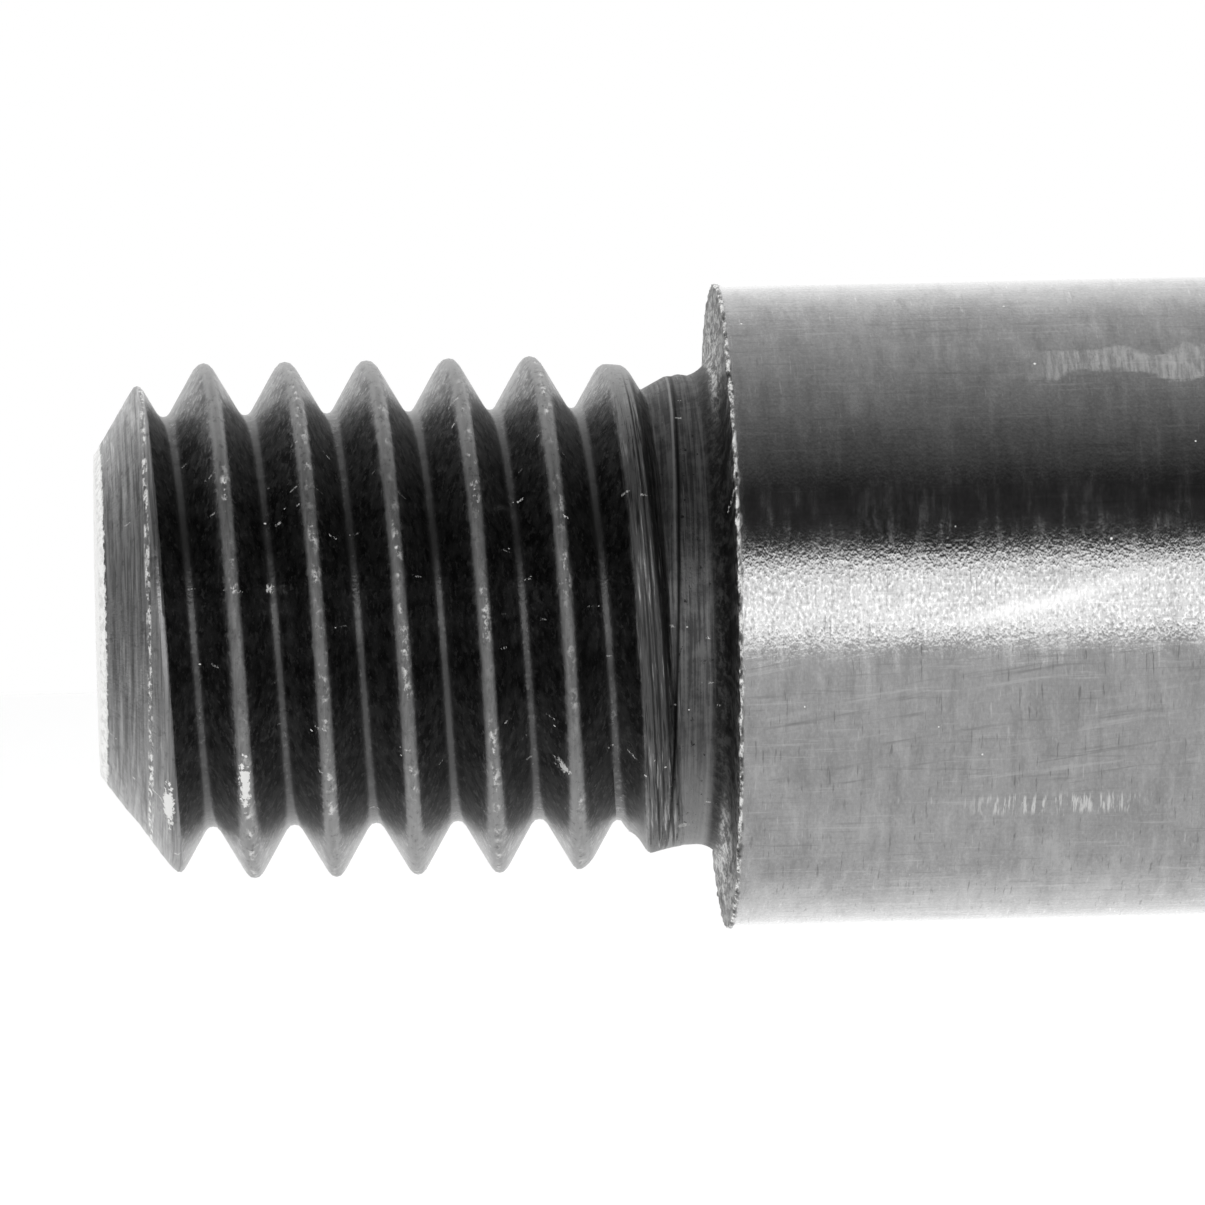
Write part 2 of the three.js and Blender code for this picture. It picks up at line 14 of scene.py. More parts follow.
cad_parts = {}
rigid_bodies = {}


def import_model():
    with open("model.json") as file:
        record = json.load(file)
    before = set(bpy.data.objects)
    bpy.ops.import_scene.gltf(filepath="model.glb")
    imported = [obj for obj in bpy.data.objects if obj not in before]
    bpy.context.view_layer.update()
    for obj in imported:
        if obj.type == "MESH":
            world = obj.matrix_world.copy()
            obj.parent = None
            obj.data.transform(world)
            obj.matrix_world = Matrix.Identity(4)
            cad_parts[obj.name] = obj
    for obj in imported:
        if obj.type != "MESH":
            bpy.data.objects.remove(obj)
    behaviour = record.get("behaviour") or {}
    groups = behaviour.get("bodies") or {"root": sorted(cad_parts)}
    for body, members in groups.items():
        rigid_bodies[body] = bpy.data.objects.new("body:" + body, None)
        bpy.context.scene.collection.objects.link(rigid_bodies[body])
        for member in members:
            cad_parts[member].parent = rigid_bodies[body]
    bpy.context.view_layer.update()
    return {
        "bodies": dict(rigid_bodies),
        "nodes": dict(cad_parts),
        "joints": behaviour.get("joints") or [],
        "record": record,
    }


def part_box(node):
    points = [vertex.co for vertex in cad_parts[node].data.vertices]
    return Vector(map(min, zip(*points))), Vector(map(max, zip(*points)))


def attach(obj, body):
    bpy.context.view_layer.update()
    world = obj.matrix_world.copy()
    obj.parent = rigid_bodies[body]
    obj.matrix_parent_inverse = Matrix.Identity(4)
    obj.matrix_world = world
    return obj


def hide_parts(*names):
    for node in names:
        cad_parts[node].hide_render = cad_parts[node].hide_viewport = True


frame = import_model()

MM = 0.001
TAU = 2 * math.pi


# ---- Places taken from the frame ----


def span(node):
    """A CAD node's lowest and highest corners, in millimetres."""
    low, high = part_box(node)
    return Vector(low) / MM, Vector(high) / MM


ring_low, ring_high = span("bearing_a_outer_ring")
AXIS_Z = (ring_low.z + ring_high.z) / 2
DRIVE_X = span("screw_shaft")[1].x

# Sizes of the screw's free end, a threaded stub on a ground journal.
SHOULDER_X = -168.0
STUB_LENGTH = 9.533
JOURNAL_R = 4.943
JOURNAL_LENGTH = 20.0
TIP_X = SHOULDER_X - STUB_LENGTH
BALL_THREAD_X = SHOULDER_X + JOURNAL_LENGTH
PITCH = 1.25
CREST_R = 3.948
ROOT_R = 3.143
NECK_R = 3.588
STUB_RUNOUT = 0.048  # how far the stub's axis lies below the journal's
HELIX_END = 0.5  # from the shoulder back to where the neck's plain rows begin
TIP_R = 2.45
TIP_SLOPE = 1.5  # how fast the tip chamfer's radius grows along x
TIP_LEAN = 0.12, 0.15  # what TIP_R and TIP_SLOPE gain at the top, and lose at the bottom
TURNING_FEED = 0.13  # between the turning lines on the tip
CREST_AT_TOP = 1.582  # from the shoulder back to the first crest line at the top
TIP_RIM_X = -8.8  # where the turned tip chamfer ends, from the shoulder
# Pale flakes stuck under the stub: x from the shoulder, height round the journal, half sizes.
STUCK_FLAKES = ((-8.55, -4.25, 0.08, 0.6), (-7.4, -3.4, 0.08, 0.55))
RUNOUT_SKEW = 0.13  # the thread's end lies this much nearer the shoulder at the top


# ---- Small numeric helpers ----


def smoothstep(low, high, value):
    """A smooth step from 0 at low to 1 at high. It falls instead where low is above high."""
    share = np.clip((value - low) / (high - low), 0.0, 1.0)
    return share * share * (3 - 2 * share)


def circle(count):
    """Angles spaced evenly round a circle."""
    return TAU * np.arange(count) / count


def soft_min(a, b, width):
    """The smaller of two numbers, with a smooth turn where they are about equal."""
    share = np.clip(0.5 + 0.5 * (b - a) / width, 0.0, 1.0)
    return b + (a - b) * share - width * share * (1 - share)


def soft_max(a, b, width):
    return -soft_min(-a, -b, width)


def ripple(x, theta, seed, waves, x_rate, turns):
    """A smooth random field of about unit size, periodic round the screw."""
    random = np.random.default_rng(seed)
    total = np.zeros(np.broadcast(x, theta).shape)
    for _ in range(waves):
        round_rate = random.integers(1, turns + 1)
        along_rate = random.normal(0, x_rate)
        total += np.sin(round_rate * theta + along_rate * x + random.uniform(0, TAU))
    return total / math.sqrt(waves / 2)


# ---- Mesh helpers ----


def link_object(name, data):
    """An object in the scene for a mesh, lamp or camera."""
    made = bpy.data.objects.new(name, data)
    bpy.context.scene.collection.objects.link(made)
    return made


def smooth(mesh, sharp_angle):
    """Shades a mesh smooth, except at edges sharper than an angle in degrees."""
    mesh.polygons.foreach_set("use_smooth", [True] * len(mesh.polygons))
    mesh.set_sharp_from_angle(angle=math.radians(sharp_angle))


def make_object(name, points, faces, smooth_angle=35.0):
    """A mesh object from points in millimetres."""
    mesh = bpy.data.meshes.new(name)
    mesh.from_pydata((np.asarray(points, float) * MM).tolist(), [], faces)
    mesh.validate()
    smooth(mesh, smooth_angle)
    mesh.update()
    return link_object(name, mesh)


def finish_piece(piece, body, nodes, material):
    """Gives a piece its material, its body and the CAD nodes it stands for."""
    piece.data.materials.clear()
    piece.data.materials.append(material)
    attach(piece, body)
    if nodes:
        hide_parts(*nodes)
    return piece


def on_axis(x, radius, theta):
    """Points about the screw axis, from arrays of x, radius and angle."""
    x, radius, theta = np.broadcast_arrays(x, radius, theta)
    return np.stack([x, radius * np.cos(theta), AXIS_Z + radius * np.sin(theta)], axis=-1)


def add_field(piece, name, values):
    """A number on each vertex, for the material to read."""
    field = piece.data.attributes.new(name, "FLOAT", "POINT")
    field.data.foreach_set("value", np.asarray(values, np.float32))


def helix_grid(phase_x, lead, offsets, turns, columns, low, high):
    """A grid whose rows follow a right-hand helix between two planes. Returns x and theta of
    its points, then the faces, then the rings of points at the two planes. Rows outside the
    planes are drawn onto them."""
    rows = [lead * n + offset for n in range(turns[0], turns[1]) for offset in offsets]
    per_turn = len(offsets)
    theta = circle(columns)
    x = phase_x + np.array(rows)[:, None] + lead * theta[None, :] / TAU
    count = x.size
    index = np.arange(count).reshape(x.shape)
    low_ring = count + np.arange(columns)
    high_ring = low_ring + columns
    index = np.where(x <= low + 1e-6, low_ring[None, :], index)
    index = np.where(x >= high - 1e-6, high_ring[None, :], index)
    past = np.concatenate([index[per_turn:, 0], np.full(per_turn, high_ring[0])])
    wrapped = np.concatenate([index, past[:, None]], axis=1)
    faces = join_rows(wrapped)
    all_x = np.concatenate([x.ravel(), np.full(columns, low), np.full(columns, high)])
    all_theta = np.concatenate([np.broadcast_to(theta, x.shape).ravel(), theta, theta])
    return all_x, all_theta, faces, low_ring, high_ring


def join_rows(index):
    """Faces between neighbouring rows of a grid of point numbers, without collapsed ones."""
    faces = []
    corners = np.stack([index[:-1, :-1], index[:-1, 1:], index[1:, 1:], index[1:, :-1]], axis=-1)
    for quad in corners.reshape(-1, 4).tolist():
        kept = [p for k, p in enumerate(quad) if p != quad[k - 1]]
        if len(set(kept)) == len(kept) >= 3:
            faces.append(kept)
    return faces


def ring_faces(a, b):
    """Faces between two closed rings of point numbers."""
    return join_rows(np.stack([np.append(a, a[0]), np.append(b, b[0])]))


def drop_unused(points, faces, *fields):
    """Points and fields without those that no face uses, and the faces renumbered."""
    used = np.unique(np.concatenate([np.array(f) for f in faces]))
    number = np.full(len(points), -1)
    number[used] = np.arange(len(used))
    return points[used], [number[f].tolist() for f in faces], *(f[used] for f in fields)


# ---- Free end of the screw ----


# What the free end's mesh says about each of its points, from 0 to 1, for its material.
STUB_FIELDS = ("crest", "root", "tip", "edge", "neck", "ground", "burr")


def stub_radius(x, theta):
    """The stub's radius, with the first five fields that its finish needs."""
    back = SHOULDER_X - x
    high_side = np.sin(theta)
    ending = back + RUNOUT_SKEW * high_side
    along = (x - (SHOULDER_X - CREST_AT_TOP - PITCH / 4) - PITCH * theta / TAU) / PITCH
    signed = (along - np.round(along)) * PITCH
    crest = np.interp(
        ending,
        [0.62, 1.03, 1.3, 1.63, 1.89, 2.11, 2.6],
        [NECK_R, 3.715, 3.77, 3.8, 3.82, 3.93, CREST_R],
    )
    root = np.interp(ending, [0.62, 0.89, 1.34, 1.44, 1.65], [NECK_R, 3.6, 3.36, 3.2, ROOT_R])
    crest = crest + 0.008 * ripple(x, theta, 3, 14, 2.0, 9)
    flank = (CREST_R + ROOT_R) / 2 - math.sqrt(3) * (np.abs(signed) - PITCH / 4)
    thread = soft_max(soft_min(flank, crest, 0.12), root, 0.1)
    lean_r, lean_slope = TIP_LEAN
    cone = TIP_R + lean_r * high_side + (TIP_SLOPE + lean_slope * high_side) * (x - TIP_X)
    radius = soft_min(thread, cone, 0.3)
    turning = 0.004 * np.sin(TAU * x / TURNING_FEED + ripple(0, theta, 5, 8, 1, 12))
    radius += turning * smoothstep(0.06, 0.0, cone - radius)
    tip_field = smoothstep(0.36, 0.0, cone - radius)
    uncut = 1 - smoothstep(0.2, 0.09, cone - radius)
    crest_field = smoothstep(0.085, 0.02, crest - radius) * smoothstep(0.92, 1.02, back) * uncut
    root_field = smoothstep(0.06, 0.0, radius - root) * smoothstep(1.3, 1.9, ending) * uncut
    on_edge = smoothstep(0.075, 0.02, np.abs(signed - 0.015))
    edge_field = on_edge * smoothstep(1.3, 1.9, back) * uncut
    neck_field = smoothstep(1.4, 1.15, ending) * (1 - crest_field)
    return radius, crest_field, root_field, tip_field, edge_field, neck_field


def free_end():
    """The threaded stub, neck, shoulder and ground journal, as one closed mesh."""
    columns = 320
    no_fields = np.zeros(len(STUB_FIELDS))
    inner = np.linspace(-0.5, 0.5, 29)[:-1]
    offsets = PITCH * (inner + 0.035 * np.sin(2 * TAU * inner))
    phase_x = SHOULDER_X - CREST_AT_TOP - PITCH / 4
    x, theta, faces, tip_ring, neck_ring = helix_grid(
        phase_x, PITCH, offsets, (-8, 3), columns, TIP_X, SHOULDER_X - HELIX_END
    )
    radius, *fields = stub_radius(x, theta)
    points = on_axis(x, radius, theta)
    fields += [np.zeros(len(x)), np.zeros(len(x))]
    rings = neck_rows(columns) + journal_rows(columns)
    ring_theta = circle(columns)
    previous = neck_ring
    for ring_x, ring_r, ground, burr in rings:
        number = len(points) + np.arange(columns)
        points = np.concatenate([points, on_axis(ring_x, ring_r, ring_theta)])
        values = (0, 0, 0, 0, 1 - ground, ground, burr)
        fields = [np.append(f, np.broadcast_to(v, columns)) for f, v in zip(fields, values)]
        faces += ring_faces(previous, number)
        previous = number
    points, faces, fields = cap_ring(points, faces, fields, previous, BALL_THREAD_X, 1, no_fields)
    on_tip = [float(name == "tip") for name in STUB_FIELDS]
    points, faces, fields = cap_ring(points, faces, fields, tip_ring[::-1], TIP_X, 6, on_tip)
    shift = STUB_RUNOUT * smoothstep(SHOULDER_X + 0.05, SHOULDER_X - 0.6, points[:, 0])
    points[:, 2] -= shift
    points, faces, *fields = drop_unused(points, faces, *fields)
    piece = make_object("screw_free_end", points, faces, 40)
    for name, values in zip(STUB_FIELDS, fields):
        add_field(piece, name, values)
    steel = new_material("screw_end_steel", stub_steel)
    finish_piece(piece, "screw", ["screw_shaft"], steel)


def neck_rows(columns):
    """Rings from the neck up the fillet and over the shoulder face. A row is x, radius, how
    much it is ground and how much it is burr."""
    theta = circle(columns)
    length, rise, foot = 0.44, 0.42, 0.05
    rows = []
    for share in np.linspace(0, 1, 11)[1:]:
        angle = share * math.pi / 2
        back = length * (1 - math.sin(angle)) + foot
        radius = NECK_R + rise * (1 - math.cos(angle))
        rough = 0.006 * ripple(back, theta, 20, 30, 9, 40) * share
        rows.append((SHOULDER_X - back + rough, radius + rough, 0, 0.12 * share))
    start, end = NECK_R + rise, JOURNAL_R - 0.05
    for share in np.linspace(0, 1, 10)[1:]:
        rough = 0.011 * ripple(3 * share, theta, 40, 40, 9, 70)
        x = SHOULDER_X - foot * (1 - share) + rough
        rows.append((x, start + (end - start) * share, 0, 0.1 + 0.2 * share**2))
    return rows


def journal_rows(columns):
    """Rings over the shoulder's ragged edge and along the ground journal."""
    theta = circle(columns)
    ragged = 0.02 * np.abs(ripple(0, theta, 60, 50, 1, 110))
    rows = [
        (SHOULDER_X + 0.012 - 0.5 * ragged, JOURNAL_R - 0.03 + 0.4 * ragged, 0.0, 0.9),
        (SHOULDER_X + 0.026, JOURNAL_R - 0.012 + 0.3 * ragged, 0.0, 1),
        (SHOULDER_X + 0.044 + 0.4 * ragged, JOURNAL_R - 0.001, 0.3, 0.8),
        (SHOULDER_X + 0.06 + 0.9 * ragged, JOURNAL_R, 1, 0.1), (SHOULDER_X + 0.15, JOURNAL_R, 1, 0),
    ]
    for x in np.linspace(0.5, JOURNAL_LENGTH, 24):
        rows.append((SHOULDER_X + x, JOURNAL_R, 1, 0))
    return rows


def cap_ring(points, faces, fields, ring, x, steps, values):
    """Closes a ring with a flat disc of rings that shrink to the axis. values has a number
    for each field."""
    start = points[ring]
    centre = np.array([x, 0, AXIS_Z])
    previous = ring
    for step in range(1, steps):
        share = step / steps
        number = len(points) + np.arange(len(ring))
        points = np.concatenate([points, start + (centre - start) * share])
        fields = [np.append(field, np.full(len(ring), v)) for field, v in zip(fields, values)]
        faces += ring_faces(previous, number)
        previous = number
    middle = len(points)
    points = np.concatenate([points, centre[None, :]])
    fields = [np.append(field, v) for field, v in zip(fields, values)]
    faces += [[middle, int(b), int(a)] for a, b in zip(previous, np.roll(previous, -1))]
    return points, faces, fields


# ---- Materials ----


class Graph:
    """A short way to write a material's or world's node tree. Every method adds a node and
    returns its output, and takes numbers or other outputs."""

    def __init__(self, tree):
        self.tree = tree
        tree.nodes.clear()

    def node(self, kind, inputs=(), **settings):
        made = self.tree.nodes.new(kind)
        for name, value in settings.items():
            setattr(made, name, value)
        for name, value in dict(inputs).items():
            self.put(made.inputs[name], value)
        return made

    def put(self, socket, value):
        if isinstance(value, bpy.types.NodeSocket):
            self.tree.links.new(value, socket)
        elif socket.type == "RGBA":
            color = value if isinstance(value, tuple) else (value, value, value)
            socket.default_value = (*color, 1.0)
        else:
            socket.default_value = value

    def math(self, operation, *values):
        inputs = dict(enumerate(values))
        return self.node("ShaderNodeMath", inputs, operation=operation).outputs[0]

    def times(self, a, b):
        return self.math("MULTIPLY", a, b)

    def over(self, a, b):
        return self.math("DIVIDE", a, b)

    def plus(self, a, b):
        return self.math("ADD", a, b)

    def minus(self, a, b):
        return self.math("SUBTRACT", a, b)

    def most(self, a, b):
        return self.math("MAXIMUM", a, b)

    def vector(self, operation, a, b):
        return self.node("ShaderNodeVectorMath", {0: a, 1: b}, operation=operation).outputs[0]

    def noise(self, vector, scale=1.0, detail=3.0, rough=0.5):
        return self.node(
            "ShaderNodeTexNoise",
            {"Vector": vector, "Scale": scale, "Detail": detail, "Roughness": rough},
        ).outputs["Fac"]

    def streaks(self, vector, factors, detail=3.0, rough=0.6):
        """Noise drawn out along each axis, with a frequency for each."""
        return self.noise(self.vector("MULTIPLY", vector, factors), 1.0, detail, rough)

    def spread(self, value, low, high, to_low=0.0, to_high=1.0):
        """A smooth step between two numbers, as a value goes from low to high."""
        names = ("Value", "From Min", "From Max", "To Min", "To Max")
        inputs = dict(zip(names, (value, low, high, to_low, to_high)))
        return self.node("ShaderNodeMapRange", inputs, interpolation_type="SMOOTHSTEP").outputs[0]

    def mix(self, factor, a, b):
        """A colour between two colours. A single number is a grey."""
        return self.node("ShaderNodeMix", {0: factor, 6: a, 7: b}, data_type="RGBA").outputs[2]

    def tint(self, color, value, low, high, tone, amount=1.0):
        """Turns a colour towards a tone as a value goes from low to high."""
        return self.mix(self.spread(value, low, high, 0.0, amount), color, tone)

    def blend(self, factor, a, b):
        """A number between two numbers."""
        return self.node("ShaderNodeMix", {0: factor, 2: a, 3: b}, data_type="FLOAT").outputs[0]

    def ramp(self, factor, stops):
        made = self.node("ShaderNodeValToRGB", {"Fac": factor})
        elements = made.color_ramp.elements
        while len(elements) > 1:
            elements.remove(elements[-1])
        for k, (place, level) in enumerate(stops):
            element = elements[0] if k == 0 else elements.new(place)
            element.position = place
            element.color = (level, level, level, 1.0)
        return made.outputs["Color"]

    def field(self, name):
        return self.node("ShaderNodeAttribute", attribute_name=name).outputs["Fac"]

    def finish(self, kind, shader):
        """Joins a shader to the graph's output."""
        output = self.node(kind)
        self.tree.links.new(shader.outputs[0], output.inputs["Surface"])


def new_material(name, build):
    """A material made by build(g), which returns its colour, metalness and roughness. Then
    may come a height for bumps, their strength, and the height's full size in millimetres."""
    material = bpy.data.materials.new(name)
    material.use_nodes = True
    g = Graph(material.node_tree)
    color, metallic, rough, *bump = build(g)
    inputs = {"Base Color": color, "Metallic": metallic, "Roughness": rough}
    if bump:
        height, strength, distance = bump
        bump = {"Height": height, "Strength": strength, "Distance": distance * MM}
        inputs["Normal"] = g.node("ShaderNodeBump", bump).outputs["Normal"]
    g.finish("ShaderNodeOutputMaterial", g.node("ShaderNodeBsdfPrincipled", inputs))
    return material


def place_in_mm(g):
    """The surface point in millimetres, measured from the screw's shoulder on its axis."""
    where = g.node("ShaderNodeTexCoord").outputs["Object"]
    moved = g.vector("SUBTRACT", where, (SHOULDER_X * MM, 0.0, AXIS_Z * MM))
    return g.vector("MULTIPLY", moved, (1000.0, 1000.0, 1000.0))


def unrolled(g, place):
    """The surface unrolled flat: x in millimetres, then millimetres round the journal,
    measured from the side that faces -Y, upwards."""
    split = g.node("ShaderNodeSeparateXYZ", {"Vector": place})
    x, y, z = split.outputs
    turn = g.math("ARCTAN2", z, g.times(y, -1.0))
    arc = g.times(turn, JOURNAL_R)
    flat = g.node("ShaderNodeCombineXYZ", {"X": x, "Y": arc})
    return x, arc, flat.outputs[0]


def window(g, value, low, high, soft):
    """One between two values, falling to zero outside them."""
    rise = g.spread(g.minus(value, low), -soft, soft)
    fall = g.spread(value, high - soft, high + soft, 1.0, 0.0)
    return g.times(rise, fall)


def stub_fields(g):
    """The places, fields and noises that the finish of the screw's free end shares."""
    s = SimpleNamespace(place=place_in_mm(g))
    for name in STUB_FIELDS:
        setattr(s, name, g.field(name))
    s.x, s.arc, s.flat = unrolled(g, s.place)
    s.turn = g.over(s.arc, JOURNAL_R)
    s.wound = g.plus(s.x, g.times(s.turn, PITCH / TAU))  # constant along a thread line
    s.cloud = g.noise(s.flat, 0.7, 4.0, 0.6)
    s.mottle = g.noise(s.place, 4.0, 4.0, 0.65)
    s.grain = g.streaks(s.flat, (21.0, 13.0, 1.0), 1.0)
    s.strokes = g.streaks(s.flat, (16.0, 1.6, 1.0), 3.0, 0.65)
    s.lines = g.streaks(s.flat, (9.0, 0.25, 1.0))
    s.fine_lines = g.streaks(s.flat, (24.0, 0.5, 1.0), 2.0)
    s.flecks = g.streaks(s.flat, (6.0, 3.0, 1.0), 3.0, 0.7)
    s.grit = g.streaks(s.place, (13.0, 9.0, 9.0), 3.0, 0.7)
    # A mask towards the stub's underside, used for painted light that makes the steel there paler.
    s.under = g.spread(s.turn, -0.4, -1.0)  # towards the stub's underside
    s.stub_only = g.minus(1.0, s.ground)
    return s


def thread_color(g, s):
    """Dark flanks, greyer crests and roots, and worn patches along each crest. Painted shade
    darkens the side level with the axis, and painted light makes the flanks and crests paler
    underneath and the crest tops paler."""
    flank = g.mix(g.spread(s.mottle, 0.35, 0.65), (0.05, 0.05, 0.051), (0.2, 0.2, 0.201))
    # Painted light: the flanks turn paler towards the underside.
    flank = g.mix(g.times(s.under, 0.4), flank, 0.2)
    flank = g.tint(flank, s.grit, 0.52, 0.66, 0.32)
    worn = g.mix(g.spread(s.strokes, 0.3, 0.7), 0.26, 0.38)
    # Painted light: the crests turn paler towards the underside.
    worn = g.mix(g.times(s.under, 0.5), worn, 0.58)
    # Painted light: the crests turn paler towards the top.
    worn = g.tint(worn, s.turn, 0.45, 0.85, 0.65, 0.6)
    worn = g.tint(worn, s.grit, 0.45, 0.3, 0.14, 0.5)
    last_turn = g.times(g.spread(s.wound, -1.6, -1.4), g.spread(s.turn, 1.3, 0.5))
    worn = g.mix(g.times(last_turn, 0.7), worn, 0.12)
    color = g.mix(s.crest, flank, worn)
    broken_root = g.times(s.root, g.spread(s.lines, 0.3, 0.6, 0.3, 1.0))
    color = g.mix(broken_root, color, 0.14)
    # Painted shade: the side level with the axis is darkened towards black.
    shaded_level_side = window(g, s.turn, -0.4, 0.2, 0.2)
    return g.mix(g.times(shaded_level_side, 0.36), color, 0.0)


def with_tip(g, s, color):
    """Adds the tip's turning lines; its plain band, darker underneath as painted shade; its
    end face, painted pale as a painted reflection; and crumbs on the edges.
    """
    s.tip_share = g.spread(g.plus(s.tip, g.times(s.grit, 0.35)), 0.42, 0.52)
    wander = g.plus(g.times(s.lines, 0.1), g.times(s.mottle, 0.12))
    wave = g.math("SINE", g.times(g.plus(s.x, wander), TAU / TURNING_FEED))
    turning = g.times(g.spread(wave, -0.2, 0.9), g.spread(s.strokes, 0.3, 0.52))
    turning = g.times(turning, g.spread(s.x, TIP_RIM_X - 0.04, TIP_RIM_X - 0.09))
    steel = g.mix(g.spread(s.lines, 0.35, 0.65), (0.34, 0.34, 0.342), (0.47, 0.47, 0.472))
    steel = g.tint(steel, s.strokes, 0.58, 0.72, 0.7, 0.6)
    steel = g.tint(steel, s.mottle, 0.45, 0.3, 0.18, 0.7)
    steel = g.mix(g.times(turning, 0.4), steel, 0.1)
    steel = g.tint(steel, s.fine_lines, 0.48, 0.35, 0.12, 0.6)
    steel = g.tint(steel, s.fine_lines, 0.55, 0.7, 0.7, 0.6)
    # Painted shade: the tip's steel turns darker towards its underside.
    steel = g.tint(steel, s.turn, 0.6, -0.6, 0.1, 0.4)
    color = g.mix(s.tip_share, color, steel)
    ragged_x = g.plus(s.x, g.spread(s.grit, 0.3, 0.7, -0.02, 0.02))
    s.end_face = g.spread(ragged_x, 0.11 - STUB_LENGTH, 0.085 - STUB_LENGTH)
    # Painted reflection: the end face, seen almost edge-on, is painted pale as if it mirrored the
    # white backdrop.
    pale = g.mix(g.spread(s.grit, 0.4, 0.55), (0.7, 0.7, 0.69), (0.88, 0.88, 0.87))
    color = g.mix(s.end_face, color, pale)
    rim = window(g, s.x, TIP_RIM_X - 0.04, TIP_RIM_X + 0.03, 0.015)
    rim = g.times(rim, g.spread(s.grit, 0.45, 0.54))
    rim = g.times(rim, g.spread(s.strokes, 0.42, 0.55))
    crumbs = g.times(g.spread(s.flecks, 0.48, 0.58), g.spread(s.grit, 0.42, 0.56))
    crumbs = g.times(crumbs, g.spread(s.cloud, 0.44, 0.58, 0.12, 1.0))
    s.crumbs = g.most(g.times(s.edge, crumbs), g.times(rim, s.tip_share))
    return g.mix(s.crumbs, color, (0.75, 0.75, 0.74))


def with_neck(g, s, color):
    """Adds the neck's streaky steel, paler underneath as painted light, and its fillet darkened
    as painted shade, with a pale lip above that is a painted highlight.
    """
    streaky = g.plus(g.times(s.mottle, 0.4), g.times(s.fine_lines, 0.6))
    steel = g.mix(g.spread(streaky, 0.4, 0.6), (0.085, 0.085, 0.086), 0.2)
    steel = g.tint(steel, s.lines, 0.6, 0.75, 0.4)
    # Painted light: the neck's steel turns paler towards the underside.
    steel = g.mix(g.times(s.under, 0.6), steel, 0.48)
    steel = g.tint(steel, s.grit, 0.38, 0.28, 0.04)
    skew = g.minus(s.x, g.times(g.math("SINE", s.turn), RUNOUT_SKEW))
    # Painted highlight: a pale line along the hump above the fillet, paler towards the top.
    lip = g.times(window(g, skew, -0.905, -0.87, 0.012), g.spread(s.turn, 0.0, 0.7, 0.05, 0.5))
    steel = g.mix(lip, steel, 0.55)
    # Painted shade: the fillet by the shoulder, and a thin line nearer the thread, are darkened
    # nearly to black.
    fillet = g.most(window(g, skew, -0.85, -0.8, 0.02), g.spread(s.x, -0.4, -0.25))
    steel = g.mix(g.times(fillet, 0.95), steel, 0.015)
    return g.mix(g.times(s.neck, g.minus(1.0, s.crest)), color, steel)


def with_scores_and_groove_shade(g, s, color):
    """Adds three dark lines of painted shade where grooves run, and many fine scores, along the
    thread lines where they run out.
    """
    # Painted shade: three dark lines where grooves of the run-out lie in shade.
    lower = g.spread(s.turn, 0.25, -0.05)
    groove_shade = g.times(window(g, s.wound, -1.325, -1.295, 0.012), lower)
    groove_shade = g.most(groove_shade, window(g, s.wound, -1.235, -1.205, 0.012))
    flank_edge = g.blend(lower, -1.14, -1.115)
    groove_shade = g.most(groove_shade, window(g, s.wound, flank_edge, -1.075, 0.015))
    groove_shade = g.times(groove_shade, window(g, s.turn, -1.4, 1.2, 0.15))
    groove_shade = g.times(groove_shade, g.spread(s.lines, 0.3, 0.5, 0.4, 1.0))
    color = g.mix(g.times(groove_shade, 0.8), color, 0.03)
    helical = g.node("ShaderNodeCombineXYZ", {"X": s.wound, "Y": s.arc}).outputs[0]
    fine = g.streaks(helical, (26.0, 0.7, 1.0), 3.0, 0.65)
    scored = g.times(window(g, s.wound, -1.5, -0.95, 0.1), window(g, s.turn, -1.4, 1.0, 0.2))
    color = g.mix(g.times(scored, g.spread(fine, 0.5, 0.36)), color, 0.05)
    return g.mix(g.times(scored, g.spread(fine, 0.56, 0.7)), color, 0.6)


def with_burr(g, s, color):
    """Adds the shoulder's ragged burr, and paler patches over its face above and below that are
    a painted reflection of the white surroundings at a grazing angle.
    """
    torn = g.times(s.burr, g.spread(s.grit, 0.35, 0.55, 0.5, 1.2))
    torn = g.times(torn, g.spread(s.flecks, 0.42, 0.56, 0.25, 1.0))
    # Painted reflection: the shoulder face turns pale towards the top and bottom.
    face = g.most(g.spread(s.turn, 0.7, 1.2), g.spread(s.turn, -0.7, -1.2))
    face = g.times(face, window(g, s.x, -0.16, 0.0, 0.05))
    lumps = g.streaks(s.place, (13.0, 2.0, 7.0), 3.0, 0.7)
    s.torn = g.most(torn, g.times(face, g.spread(lumps, 0.4, 0.6, 0.15, 0.8)))
    return g.mix(s.torn, color, g.mix(g.spread(s.grit, 0.35, 0.6), 0.3, (0.9, 0.9, 0.89)))


